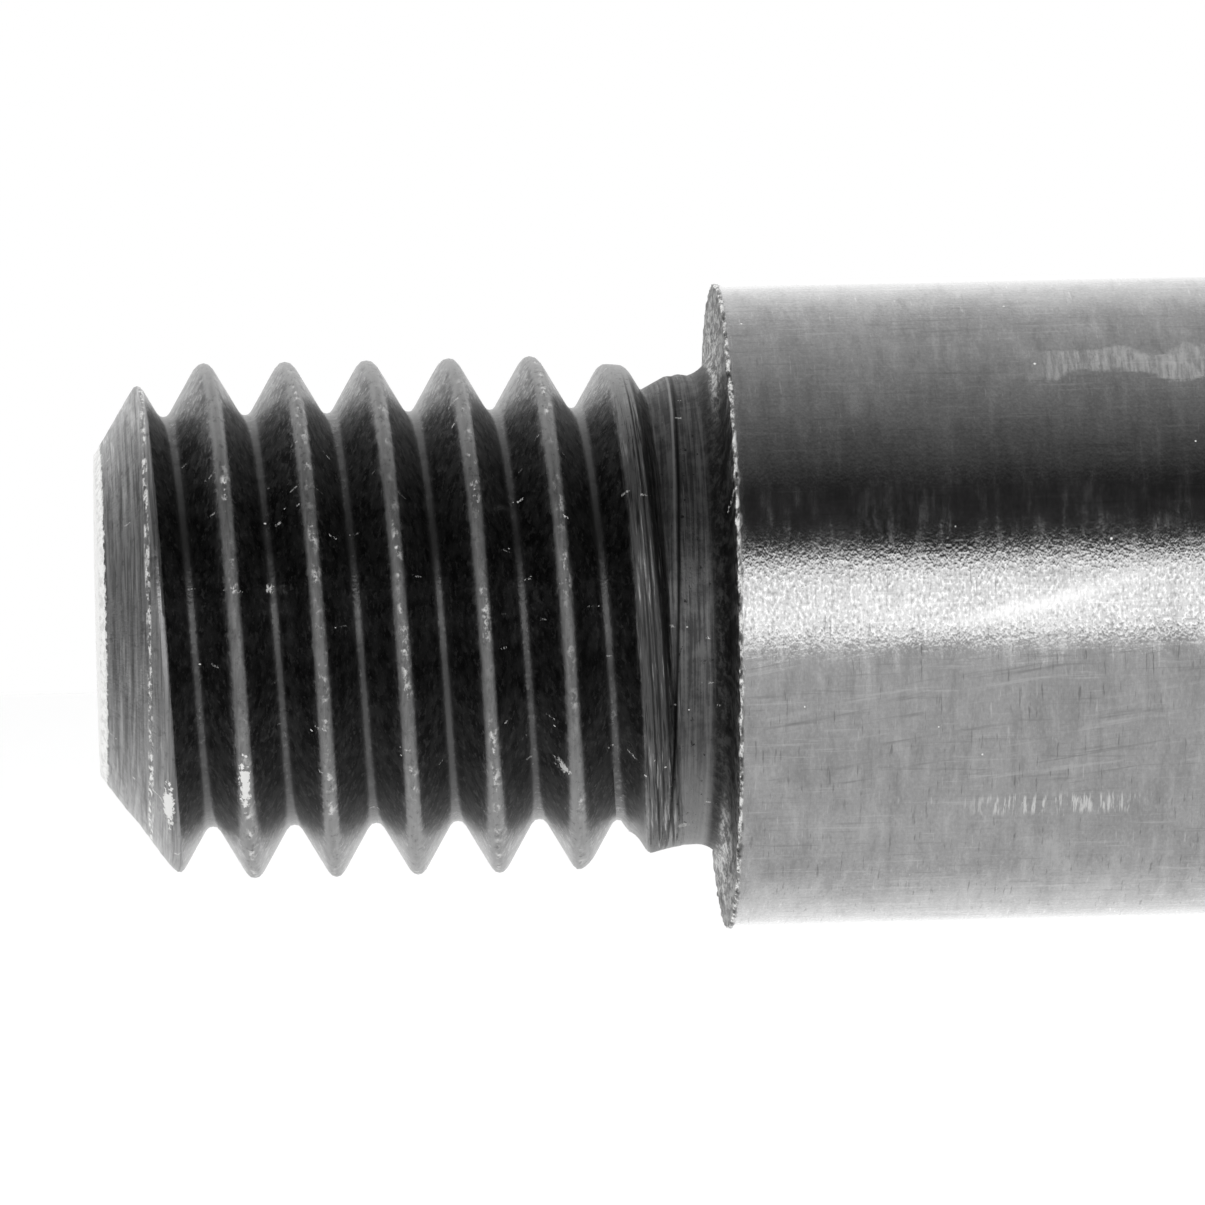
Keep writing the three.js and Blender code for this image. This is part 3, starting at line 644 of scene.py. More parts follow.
def journal_color(g, s):
    """Ground steel, with its grain, short strokes, levelling bands and handling marks. The grain's
    colour is painted stronger where the highlight falls, partly a painted highlight sparkle.
    """
    steel = g.mix(g.spread(s.cloud, 0.35, 0.65), (0.42, 0.42, 0.421), (0.49, 0.49, 0.491))
    # The band where the highlight falls: the grain's colour is painted stronger there, partly real
    # grain and partly painted highlight sparkle.
    s.rubbed = window(g, s.arc, -0.65, 0.85, 0.2)
    bright_grain = g.times(g.spread(s.grain, 0.5, 0.68), g.blend(s.rubbed, 0.12, 0.6))
    steel = g.mix(bright_grain, steel, 0.8)
    dark_grain = g.times(g.spread(s.grain, 0.46, 0.3), g.blend(s.rubbed, 0.15, 0.7))
    steel = g.mix(dark_grain, steel, 0.24)
    ticks = g.times(g.spread(s.strokes, 0.6, 0.7), g.spread(s.arc, 2.2, 1.0, 0.2, 0.7))
    steel = g.mix(ticks, steel, 0.2)
    steel = g.tint(steel, s.strokes, 0.38, 0.28, 0.75, 0.5)
    s.brushed = g.streaks(s.flat, (4.5, 1.0, 1.0), 4.0, 0.7)
    steel = g.tint(steel, s.brushed, 0.5, 0.7, 0.75, 0.35)
    steel = g.tint(steel, s.brushed, 0.5, 0.3, 0.22, 0.35)
    bands = g.streaks(s.flat, (0.5, 9.0, 1.0), 3.0, 0.7)
    steel = g.tint(steel, bands, 0.56, 0.72, 0.8, 0.3)
    steel = g.tint(steel, bands, 0.44, 0.3, 0.2, 0.3)
    return with_smears(g, s, with_wipes(g, s, steel))


def with_wipes(g, s, steel):
    """Adds faint slanting wipe marks below the middle of the journal."""
    slant = g.node("ShaderNodeVectorRotate", {"Vector": s.flat, "Angle": math.radians(-9)},
                   rotation_type="Z_AXIS").outputs[0]
    s.wipes = g.streaks(slant, (0.35, 7.0, 1.0))
    s.wiped = g.times(window(g, s.arc, -3.0, -0.5, 0.4), g.spread(s.cloud, 0.4, 0.6))
    steel = g.mix(g.times(s.wiped, g.spread(s.wipes, 0.56, 0.7, 0.0, 0.6)), steel, 0.24)
    return g.mix(g.times(s.wiped, g.spread(s.wipes, 0.44, 0.32, 0.0, 0.5)), steel, 0.66)


def with_smears(g, s, steel):
    """Adds a dull smear, a bright patch, and a thin curved streak of smoother steel whose paler
    colour is a painted highlight.
    """
    ragged_arc = g.plus(s.arc, g.spread(s.cloud, 0.2, 0.8, -0.3, 0.3))
    smear = g.times(window(g, ragged_arc, 3.68, 4.3, 0.07), g.spread(s.x, 4.2, 5.2))
    s.smear = g.times(smear, g.spread(s.strokes, 0.35, 0.62, 0.06, 0.26))
    steel = g.mix(s.smear, steel, (0.8, 0.8, 0.79))
    patch = g.times(window(g, s.arc, -3.5, -3.15, 0.08), window(g, s.x, 3.6, 6.0, 0.4))
    patch = g.times(patch, g.spread(s.strokes, 0.5, 0.6, 0.0, 0.75))
    steel = g.mix(patch, steel, (0.95, 0.95, 0.94))
    # The streak follows the highlight's brightest line: smoother steel, with a paler colour that is
    # a painted highlight.
    climb = g.times(g.times(s.x, s.x), 0.0235)
    from_streak = g.minus(g.plus(s.arc, 0.54), climb)
    streak = g.times(window(g, from_streak, -0.1, 0.08, 0.13), window(g, s.x, 3.4, 5.6, 1.6))
    s.streak = g.times(streak, g.spread(s.strokes, 0.35, 0.6, 0.45, 0.9))
    return g.mix(s.streak, steel, 0.75)


def litter(g, s):
    """Grit and swarf: small dots everywhere, then crumbs, chips and flakes on the stub."""
    dots = specks(g, s.flat, 3.0, 0.8, 0.08)
    nudge = g.node("ShaderNodeCombineXYZ", {"X": g.times(s.grit, 0.5)}).outputs[0]
    drift = g.vector("ADD", s.flat, nudge)
    crumbs = specks(g, drift, 3.2, 0.55, 0.14)
    crumbs = g.times(crumbs, g.spread(s.cloud, 0.4, 0.55, 0.5, 1.0))
    chips = specks(g, g.vector("MULTIPLY", drift, (1.0, 0.4, 1.0)), 0.9, 0.55, 0.09)
    swarf = g.times(g.most(crumbs, chips), s.stub_only)
    found = g.most(dots, g.times(swarf, 0.85))
    ragged = g.spread(s.grit, 0.3, 0.7, -0.5, 0.5)
    for flake_x, flake_arc, width, height in STUCK_FLAKES:
        across = g.over(g.minus(s.x, flake_x), width)
        along = g.over(g.minus(s.arc, flake_arc), height)
        reach = g.math("SQRT", g.plus(g.math("POWER", across, 2.0), g.math("POWER", along, 2.0)))
        found = g.most(found, g.spread(g.plus(reach, ragged), 1.0, 0.85))
    return found


def specks(g, where, density, rarity, size):
    """Small dots, one at most in each cell. rarity is the share of cells left empty."""
    cells = g.node("ShaderNodeTexVoronoi", {"Vector": where, "Scale": density})
    pick = g.node("ShaderNodeSeparateColor", {"Color": cells.outputs["Color"]})
    reach = g.spread(pick.outputs[1], 0.0, 1.0, 0.5 * size, size)
    dot = g.spread(g.over(cells.outputs["Distance"], reach), 1.0, 0.6)
    return g.times(dot, g.math("GREATER_THAN", pick.outputs[0], rarity))


def stub_steel(g):
    """Dark thread flanks with worn crests, turned tip, ragged burr and ground journal, with
    painted light, shade and reflections in several of their colours.
    """
    s = stub_fields(g)
    color = with_tip(g, s, thread_color(g, s))
    color = with_burr(g, s, with_scores_and_groove_shade(g, s, with_neck(g, s, color)))
    color = g.mix(s.ground, color, journal_color(g, s))
    found = litter(g, s)
    color = g.mix(found, color, (0.72, 0.72, 0.71))

    # What is not metal: litter, the smear, the burr, crumbs, and the end face, which is made
    # non-metal so that its painted reflection shows.
    not_metal = g.most(found, s.smear)
    for field, share in ((g.math("MINIMUM", s.torn, 1.0), 0.5), (s.crumbs, 0.6), (s.end_face, 0.8)):
        not_metal = g.most(not_metal, g.times(field, share))

    ground_rough = g.spread(s.cloud, 0.3, 0.7, 0.12, 0.17)
    ground_rough = g.plus(ground_rough, g.spread(s.brushed, 0.45, 0.7, 0.0, 0.1))
    rough = g.blend(g.most(s.crest, s.neck), 0.36, 0.55)
    rough = g.blend(s.tip_share, rough, 0.42)
    rough = g.blend(s.end_face, rough, 0.6)
    rough = g.blend(s.ground, rough, ground_rough)
    rough = g.blend(g.most(s.burr, found), rough, 0.5)

    height = g.plus(g.times(s.grain, g.blend(s.rubbed, 0.8, 1.5)), g.times(s.strokes, 0.8))
    height = g.times(height, g.minus(1.0, g.times(s.streak, 0.8)))
    height = g.plus(height, g.times(s.wiped, g.times(s.wipes, 1.2)))
    height = g.plus(height, g.times(g.plus(s.tip_share, s.neck), g.plus(s.lines, s.mottle)))
    height = g.plus(height, g.times(g.times(s.stub_only, g.plus(s.mottle, s.grit)), 1.5))
    height = g.plus(height, g.times(found, 1.5))
    return color, g.minus(1.0, not_metal), rough, height, 0.3, 0.012


def metal_material(name, dark, light, rough, lines):
    """Turned metal with fine marks round the screw's axis. lines is marks to the millimetre."""

    def build(g):
        place = place_in_mm(g)
        marks = g.streaks(place, (lines, 0.35, 0.35), 4.0)
        mottle = g.noise(place, 0.45, 4.0, 0.6)
        grit = g.noise(place, 9.0, 3.0, 0.6)
        shade = g.plus(g.times(marks, 0.55), g.times(mottle, 0.45))
        color = g.mix(g.spread(shade, 0.35, 0.65), dark, light)
        dullness = g.spread(mottle, 0.3, 0.7, rough[0], rough[1])
        return color, 1.0, dullness, g.plus(marks, g.times(grit, 0.4)), 0.25, 0.02

    return new_material(name, build)


def ball_thread_steel(g):
    """Polished groove with faint rolling lines, and a duller ground land."""
    place = place_in_mm(g)
    groove = g.field("groove")
    marks = g.streaks(place, (22.0, 0.4, 0.4), 4.0)
    mottle = g.noise(place, 0.6, 4.0, 0.6)
    land = g.mix(g.spread(marks, 0.3, 0.7), (0.32, 0.32, 0.325), (0.45, 0.45, 0.455))
    track = g.mix(g.spread(marks, 0.3, 0.7), (0.48, 0.48, 0.49), (0.58, 0.58, 0.59))
    land_rough = g.spread(mottle, 0.3, 0.7, 0.24, 0.36)
    track_rough = g.spread(mottle, 0.3, 0.7, 0.1, 0.18)
    rough = g.blend(groove, land_rough, track_rough)
    return g.mix(groove, land, track), 1.0, rough, marks, 0.15, 0.02


def bearing_steel(g):
    """Polished bearing steel with a thin film of oil and fine running lines."""
    place = place_in_mm(g)
    film = g.noise(place, 0.8, 4.0, 0.6)
    lines = g.streaks(place, (30.0, 1.5, 1.5))
    color = g.mix(film, (0.56, 0.56, 0.58), (0.66, 0.66, 0.67))
    return color, 1.0, g.spread(film, 0.3, 0.7, 0.06, 0.16), lines, 0.08, 0.01


def black_oxide(g):
    """Black oxide on milled steel: dark, slightly uneven, browner where it's worn."""
    place = place_in_mm(g)
    cloud = g.noise(place, 0.12, 4.0, 0.6)
    grain = g.noise(place, 7.0, 5.0, 0.7)
    milling = g.streaks(place, (0.5, 0.5, 9.0), 3.0, 0.55)
    base = g.mix(g.spread(cloud, 0.35, 0.65), (0.014, 0.014, 0.016), (0.028, 0.027, 0.028))
    base = g.mix(g.spread(grain, 0.62, 0.78), base, (0.09, 0.085, 0.08))
    rough = g.spread(grain, 0.3, 0.7, 0.34, 0.52)
    return base, 0.55, rough, g.plus(grain, g.times(milling, 0.8)), 0.3, 0.03


def plastic_material(name, color, rough, grain_size):
    """Moulded plastic or rubber. grain_size is in tenths of a millimetre."""
    lighter = tuple(min(1.0, c * 1.7 + 0.004) for c in color)

    def build(g):
        place = place_in_mm(g)
        grain = g.noise(place, 10.0 / grain_size, 4.0, 0.6)
        shade = g.mix(g.spread(g.noise(place, 0.4, 3.0, 0.5), 0.3, 0.7), color, lighter)
        return shade, 0.0, g.spread(grain, 0.3, 0.7, rough, rough + 0.2), grain, 0.35, 0.03

    return new_material(name, build)


# ---- Shapes for the rest of the assembly ----


def about_screw():
    """Local X on the screw's axis."""
    return Matrix.Translation((0, 0, AXIS_Z))


def outward(angle, x):
    """Local X pointing away from the screw's axis at an angle, from a place along it."""
    turn = Matrix.Rotation(math.radians(angle), 4, "X") @ Matrix.Rotation(math.pi / 2, 4, "Z")
    return Matrix.Translation((x, 0, AXIS_Z)) @ turn


def parallel(x, y, z):
    """Local X parallel to the screw, through a point off its axis."""
    return Matrix.Translation((x, y, z))


def soften(corners, closed, edge, steps=3):
    """Rounds the corners of an outline of (x, radius) points. Gentle turns stay."""
    points = [np.array(c, float) for c in corners]
    count = len(points)
    outline = []
    for k, point in enumerate(points):
        if not closed and k in (0, count - 1):
            outline.append(point)
            continue
        before = points[k - 1] - point
        after = points[(k + 1) % count] - point
        size_b, size_a = np.linalg.norm(before), np.linalg.norm(after)
        turn = math.degrees(math.acos(np.clip(-before @ after / (size_b * size_a), -1, 1)))
        if turn < 25:
            outline.append(point)
            continue
        reach = min(edge, 0.4 * size_b, 0.4 * size_a)
        start, end = point + before / size_b * reach, point + after / size_a * reach
        for share in np.linspace(0, 1, steps + 1):
            straight = (1 - share) ** 2 * start + 2 * share * (1 - share) * point
            outline.append(straight + share**2 * end)
    return [(float(x), float(r)) for x, r in outline]


def rings(name, rows, closed, frame, columns=128, smooth_angle=35.0):
    """A mesh of rings about local X. A row is x and a radius, or a radius for each column. An
    open mesh starts and ends on the axis."""
    theta = circle(columns)
    points = np.concatenate([
        np.stack([np.full(columns, x), r * np.cos(theta), r * np.sin(theta)], axis=-1)
        for x, r in ((x, np.broadcast_to(np.asarray(r, float), columns)) for x, r in rows)
    ])
    index = np.arange(len(points)).reshape(len(rows), columns)
    if closed:
        index = np.concatenate([index, index[:1]])
    else:
        index[0] = index[0, 0]
        index[-1] = index[-1, 0]
    faces = join_rows(np.concatenate([index, index[:, :1]], axis=1))
    points, faces = drop_unused(points, faces)
    return face_outward(make_object(name, placed(points, frame), faces, smooth_angle))


def placed(points, frame):
    """Points moved from a local frame to the scene's."""
    points = np.asarray(points, float)
    return points @ np.array(frame.to_3x3()).T + np.array(frame.translation)


def face_outward(piece, smooth_angle=None):
    """Points all faces out, and marks sharp edges again where an angle is given."""
    work = bmesh.new()
    work.from_mesh(piece.data)
    bmesh.ops.remove_doubles(work, verts=work.verts, dist=1e-7)
    bmesh.ops.recalc_face_normals(work, faces=work.faces)
    work.to_mesh(piece.data)
    work.free()
    if smooth_angle:
        smooth(piece.data, smooth_angle)
    return piece


def turned(name, corners, closed=True, frame=None, columns=128, edge=0.2):
    """A turned piece from the corners of its section, with softened edges."""
    return rings(name, soften(corners, closed, edge), closed, frame or about_screw(), columns)


def prism(name, outline, start, end):
    """A solid along X from a (y, z) outline."""
    count = len(outline)
    points = [(x, y, z) for x in (start, end) for y, z in outline]
    faces = [[k, (k + 1) % count, (k + 1) % count + count, k + count] for k in range(count)]
    faces += [list(range(count))[::-1], list(range(count, 2 * count))]
    return face_outward(make_object(name, points, faces))


def joined(name, pieces):
    """One mesh object from several that don't touch."""
    work = bmesh.new()
    for piece in pieces:
        work.from_mesh(piece.data)
    mesh = bpy.data.meshes.new(name)
    work.to_mesh(mesh)
    work.free()
    whole = link_object(name, mesh)
    for piece in pieces:
        bpy.data.objects.remove(piece)
    return whole


def apply_modifiers(piece):
    """Makes a piece's modifiers part of its mesh."""
    bpy.context.view_layer.update()
    shape = piece.evaluated_get(bpy.context.evaluated_depsgraph_get())
    mesh = bpy.data.meshes.new_from_object(shape)
    piece.modifiers.clear()
    piece.data = mesh


def cut(piece, *tools):
    """Takes the tools' shapes out of a piece."""
    tool = joined("tool", tools)
    modifier = piece.modifiers.new("cut", "BOOLEAN")
    modifier.operation = "DIFFERENCE"
    modifier.solver = "EXACT"
    modifier.object = tool
    apply_modifiers(piece)
    bpy.data.objects.remove(tool)
    return face_outward(piece, 35)


def ease(piece, width):
    """Rounds a piece's edges slightly."""
    modifier = piece.modifiers.new("edges", "BEVEL")
    modifier.width = width * MM
    modifier.segments = 2
    modifier.limit_method = "ANGLE"
    modifier.angle_limit = math.radians(40)
    modifier.harden_normals = False
    apply_modifiers(piece)
    return face_outward(piece, 35)


def drill(frame, columns, *corners):
    """A cutting shape about local X, from (x, radius) corners, with a flat at each end."""
    start, end = corners[0][0], corners[-1][0]
    return rings("tool", [(start, 0), *corners, (end, 0)], False, frame, columns)


def hex_radius(columns, across, blunt=0.12):
    """Radius of a hexagon in each direction, with blunted corners."""
    theta = circle(columns)
    from_flat = (theta + TAU / 12) % (TAU / 6) - TAU / 12
    radius = across / 2 / np.cos(from_flat)
    return soft_min(radius, across / 2 / math.cos(TAU / 12) - blunt, 2 * blunt)


def hex_rows(columns, across, start, end, corner_radius, blunt=0.12):
    """Rows along a hexagon's outside, with its corners turned down at both ends."""
    outline = hex_radius(columns, across, blunt)
    full = float(outline.max())
    rise = full - corner_radius
    depth = rise * 0.58
    near = np.linspace(0, depth * 1.1, 9)
    xs = np.concatenate([start + near, end - near[::-1]])
    rows = []
    for x in xs:
        inside = min(x - start, end - x)
        envelope = corner_radius + rise * inside / depth
        rows.append((float(x), soft_min(outline, envelope, 0.03)))
    return rows


def socket_screw(name, start, under, top, shank, head, socket, depth, frame):
    """A cap screw with a hexagon socket. The top faces local +X."""
    columns = 120
    hole = hex_radius(columns, socket, 0.05)
    rows = [
        (start, 0), (start, shank - 0.3), (start + 0.3, shank), (under, shank), (under, head - 0.1),
        (under + 0.1, head), (top - 0.45, head), (top - 0.2, head - 0.06),
        (top - 0.05, head - 0.22), (top, head - 0.4), (top, hole + 0.16), (top - 0.14, hole),
        (top - depth, hole), (top - depth - 0.3, 0.3), (top - depth - 0.34, 0),
    ]
    return rings(name, rows, False, frame, columns)


def arc(x, radius, size, start, end, steps):
    """Points of a circle drawn in the plane of an outline. Angles are in degrees."""
    angles = [math.radians(start + (end - start) * k / steps) for k in range(steps + 1)]
    return [(x + size * math.cos(a), radius + size * math.sin(a)) for a in angles]


# ---- Ball thread and drive end ----

LEAD = 5.0
GROOVE_PHASE = -95.0
BALL_CENTRE_R = 8.25
BALL_THREAD_END = -18.0
LAND_R = 7.75
SEAT_R = 6.0
SEAT_END = 30.0
DRIVE_R = 5.0


def groove_offsets(opening, land):
    """Places along one lead where the rows of a grooved surface lie."""
    side = [0.35, 0.7, 1.0, 1.25, 1.45, 1.58, opening - 0.03, opening + 0.05, opening + 0.16]
    left = [-s for s in reversed(side)]
    return left + [0.0] + side + [opening + 0.16 + (land - opening - 0.16) * s for s in (0.4, 0.8)]


def groove_depth(u, ball_radius, side):
    """Radius at which a groove's section lies, at a distance from its middle."""
    inside = np.clip(ball_radius**2 - u**2, 0, None)
    return BALL_CENTRE_R + side * np.sqrt(inside)


def lead_offset(x, theta):
    """How far along x a point lies from the middle of the nearest ball groove."""
    turns = (x - GROOVE_PHASE - LEAD * theta / TAU) / LEAD
    return (turns - np.round(turns)) * LEAD


def ball_thread():
    """The screw's ground ball groove, between chamfered shoulders."""
    columns = 96
    offsets = groove_offsets(1.677, 2.5)
    start, end = BALL_THREAD_X, BALL_THREAD_END
    count = math.ceil((end - start) / LEAD)
    first = math.floor((start - GROOVE_PHASE) / LEAD) - 2
    x, theta, faces, near, far = helix_grid(
        GROOVE_PHASE, LEAD, offsets, (first, first + count + 4), columns, start, end
    )
    u = lead_offset(x, theta)
    radius = soft_min(np.full_like(x, LAND_R), groove_depth(u, 1.75, -1), 0.05)
    radius = np.where(np.abs(u) > 1.74, LAND_R, radius)
    chamfer = np.minimum(x - start, end - x) + LAND_R - 0.8
    radius = soft_min(radius, chamfer, 0.05)
    points = on_axis(x, radius, theta)
    angles = circle(columns)
    for ring, place, inner in ((near, start, JOURNAL_R), (far, end, SEAT_R)):
        number = len(points) + np.arange(columns)
        points = np.concatenate([points, on_axis(place, inner, angles)])
        faces += ring_faces(ring, number)
        points, faces, _ = cap_ring(points, faces, [], number, place, 1, [])
    points, faces = drop_unused(points, faces)
    piece = face_outward(make_object("screw_ball_thread", points, faces, 40))
    add_field(piece, "groove", lead_groove(piece))
    material = new_material("ball_thread_steel", ball_thread_steel)
    finish_piece(piece, "screw", ["screw_shaft"], material)


def lead_groove(piece):
    """How far each vertex lies inside the ball groove, from 0 on the land to 1."""
    count = len(piece.data.vertices)
    flat = np.empty(count * 3)
    piece.data.vertices.foreach_get("co", flat)
    place = flat.reshape(count, 3) / MM
    radius = np.hypot(place[:, 1], place[:, 2] - AXIS_Z)
    return smoothstep(0.02, 0.15, LAND_R - radius)


def drive_end():
    """Bearing journal, locknut thread, relief and plain drive journal."""
    columns = 144
    thread_from, thread_to, pitch = 18.6, 29.4, 1.0
    shaft = turned("screw_drive_end", [
        (BALL_THREAD_END - 0.5, 0), (BALL_THREAD_END - 0.5, SEAT_R - 0.3),
        (BALL_THREAD_END + 0.1, SEAT_R), (thread_from, SEAT_R), (thread_from + 0.5, SEAT_R - 0.5),
        (thread_to - 0.2, SEAT_R - 0.5), (thread_to + 0.1, SEAT_R - 0.9),
        (SEAT_END - 0.05, SEAT_R - 0.95), (SEAT_END, DRIVE_R), (DRIVE_X - 0.6, DRIVE_R),
        (DRIVE_X, DRIVE_R - 0.6), (DRIVE_X, 1.3), (DRIVE_X - 0.25, 1.1), (DRIVE_X - 2.0, 0.35),
        (DRIVE_X - 2.6, 0.3), (DRIVE_X - 2.75, 0),
    ], closed=False, columns=columns, edge=0.12)
    offsets = [pitch * o for o in (-0.5, -0.36, -0.24, -0.12, -0.04, 0.04, 0.12, 0.24, 0.36)]
    first = math.floor(thread_from - 1)
    x, theta, faces, _, _ = helix_grid(
        0.0, pitch, offsets, (first, first + 15), columns, thread_from, thread_to
    )
    turns = x - theta / TAU
    offset = np.abs(turns - np.round(turns))
    radius = np.clip(SEAT_R + 0.1 - math.sqrt(3) * (offset - 0.02), SEAT_R - 0.62, SEAT_R - 0.02)
    ends = np.minimum(x - thread_from, thread_to - x)
    radius = np.minimum(radius, SEAT_R - 0.62 + 1.2 * ends)
    points, faces = drop_unused(on_axis(x, radius, theta), faces)
    thread = face_outward(make_object("thread", points, faces, 40))
    shaft = joined("screw_drive_end", [shaft, thread])
    smooth(shaft.data, 35)
    steel = metal_material("drive_steel", (0.4, 0.4, 0.41), (0.54, 0.54, 0.55), (0.14, 0.28), 24.0)
    finish_piece(shaft, "screw", ["screw_shaft"], steel)


# ---- Ball nut ----

NUT_FROM = -104.0
NUT_TO = -62.0
FLANGE_FROM = -72.0
NUT_R = 14.0
FLANGE_R = 24.0
FLANGE_FLAT = 20.0
WIPER_R = 11.0
WIPER_DEPTH = 4.0
NUT_BORE_R = 8.05
NUT_BALL_R = 1.5875
NIPPLE_X = (FLANGE_FROM + NUT_TO) / 2
CROSSINGS = ((-95.0, 135), (-85.0, 315))
BOLT_ANGLES = (45, 90, 135, 225, 270, 315)
BOLT_CIRCLE_R = 19.0


def flange_radius(columns, radius):
    """The flange's outline, round with two flats across Y."""
    theta = circle(columns)
    flat = FLANGE_FLAT / np.clip(np.abs(np.cos(theta)), 0.1, None)
    return soft_min(np.full(columns, radius), flat - (FLANGE_R - radius) * 0.5, 0.1)


def oval(grow, size):
    """The outline of a deflector plug: along the nut, then round it."""
    half_length, end_radius = 2.0, 4.6 + grow
    points = []
    for k in range(48):
        angle = TAU * k / 48
        side = half_length if math.cos(angle) >= 0 else -half_length
        points.append((end_radius * math.sin(angle), side + end_radius * math.cos(angle)))
    return np.array(points) * size


def oval_rows(name, levels, frame):
    """A plug of oval rings. A level is (radius from the screw's axis, size, growth)."""
    points, index = [], []
    for height, size, grow in levels:
        along, round_nut = oval(grow, size).T
        out = np.sqrt(np.clip(height**2 - round_nut**2, 1, None))
        index.append(len(points) + np.arange(len(along)))
        points += np.stack([out, round_nut, along], axis=-1).tolist()
    index = np.array(index)
    faces = join_rows(np.concatenate([index, index[:, :1]], axis=1))
    faces += [index[0][::-1].tolist(), index[-1].tolist()]
    turn = frame @ Matrix(((1, 0, 0, 0), (0, 0, -1, 0), (0, 1, 0, 0), (0, 0, 0, 1)))
    return face_outward(make_object(name, placed(points, turn), faces, 35))


def crossing_places():
    """Frames that point out of the nut where each circuit's balls cross back over a land."""
    return [outward(angle, groove + LEAD * (angle + 180) / 360) for groove, angle in CROSSINGS]


def nut_body():
    """The nut with its flange, wiper recesses, ball groove, bolt holes and openings."""
    columns = 180
    offsets = groove_offsets(1.789, 2.5)
    start, end = NUT_FROM + WIPER_DEPTH, NUT_TO - WIPER_DEPTH
    first = math.floor((start - GROOVE_PHASE) / LEAD) - 2
    x, theta, faces, near, far = helix_grid(
        GROOVE_PHASE, LEAD, offsets, (first, first + 12), columns, start, end
    )
    u = lead_offset(x, theta)
    bore = np.maximum(NUT_BORE_R, np.where(np.abs(u) < 1.79, groove_depth(u, 1.8, 1), 0))
    points = on_axis(x, bore, theta)
    angles = circle(columns)
    recess = WIPER_R + 0.1
    outside = soften([
        (end, recess), (NUT_TO, recess), (NUT_TO, FLANGE_R), (FLANGE_FROM, FLANGE_R),
        (FLANGE_FROM, NUT_R), (NUT_FROM, NUT_R), (NUT_FROM, recess), (start, recess),
    ], False, 0.6)
    previous = far
    for row_x, row_r in outside:
        shape = flange_radius(columns, row_r) if row_r > NUT_R + 0.5 else row_r
        number = len(points) + np.arange(columns)
        points = np.concatenate([points, on_axis(row_x, shape, angles)])
        faces += ring_faces(previous, number)
        previous = number
    faces += ring_faces(previous, near)
    points, faces = drop_unused(points, faces)
    piece = face_outward(make_object("fine_nut_body", points, faces, 35))
    tools = []
    for angle in BOLT_ANGLES:
        y = BOLT_CIRCLE_R * math.cos(math.radians(angle))
        z = AXIS_Z + BOLT_CIRCLE_R * math.sin(math.radians(angle))
        tools.append(drill(
            parallel(0, y, z), 64,
            (FLANGE_FROM - 1, 3.15), (FLANGE_FROM, 3.15), (FLANGE_FROM + 0.4, 2.75),
            (NUT_TO - 0.4, 2.75), (NUT_TO, 3.15), (NUT_TO + 1, 3.15),
        ))
    for place in crossing_places():
        levels = [(9.3, 1, 0.1), (13.55, 1, 0.1), (14.3, 1, 0.5), (16, 1, 0.5)]
        tools.append(oval_rows("tool", levels, place))
    flat = FLANGE_FLAT
    hole = [(15, 3.05), (flat - 0.3, 3.05), (flat + 0.1, 3.4), (flat + 2, 3.4)]
    tools.append(drill(outward(180, NIPPLE_X), 64, *hole))
    cut(piece, *tools)
    steel = metal_material("nut_steel", (0.3, 0.3, 0.31), (0.44, 0.44, 0.45), (0.18, 0.34), 12.0)
    finish_piece(piece, "nut", ["nut_body"], steel)


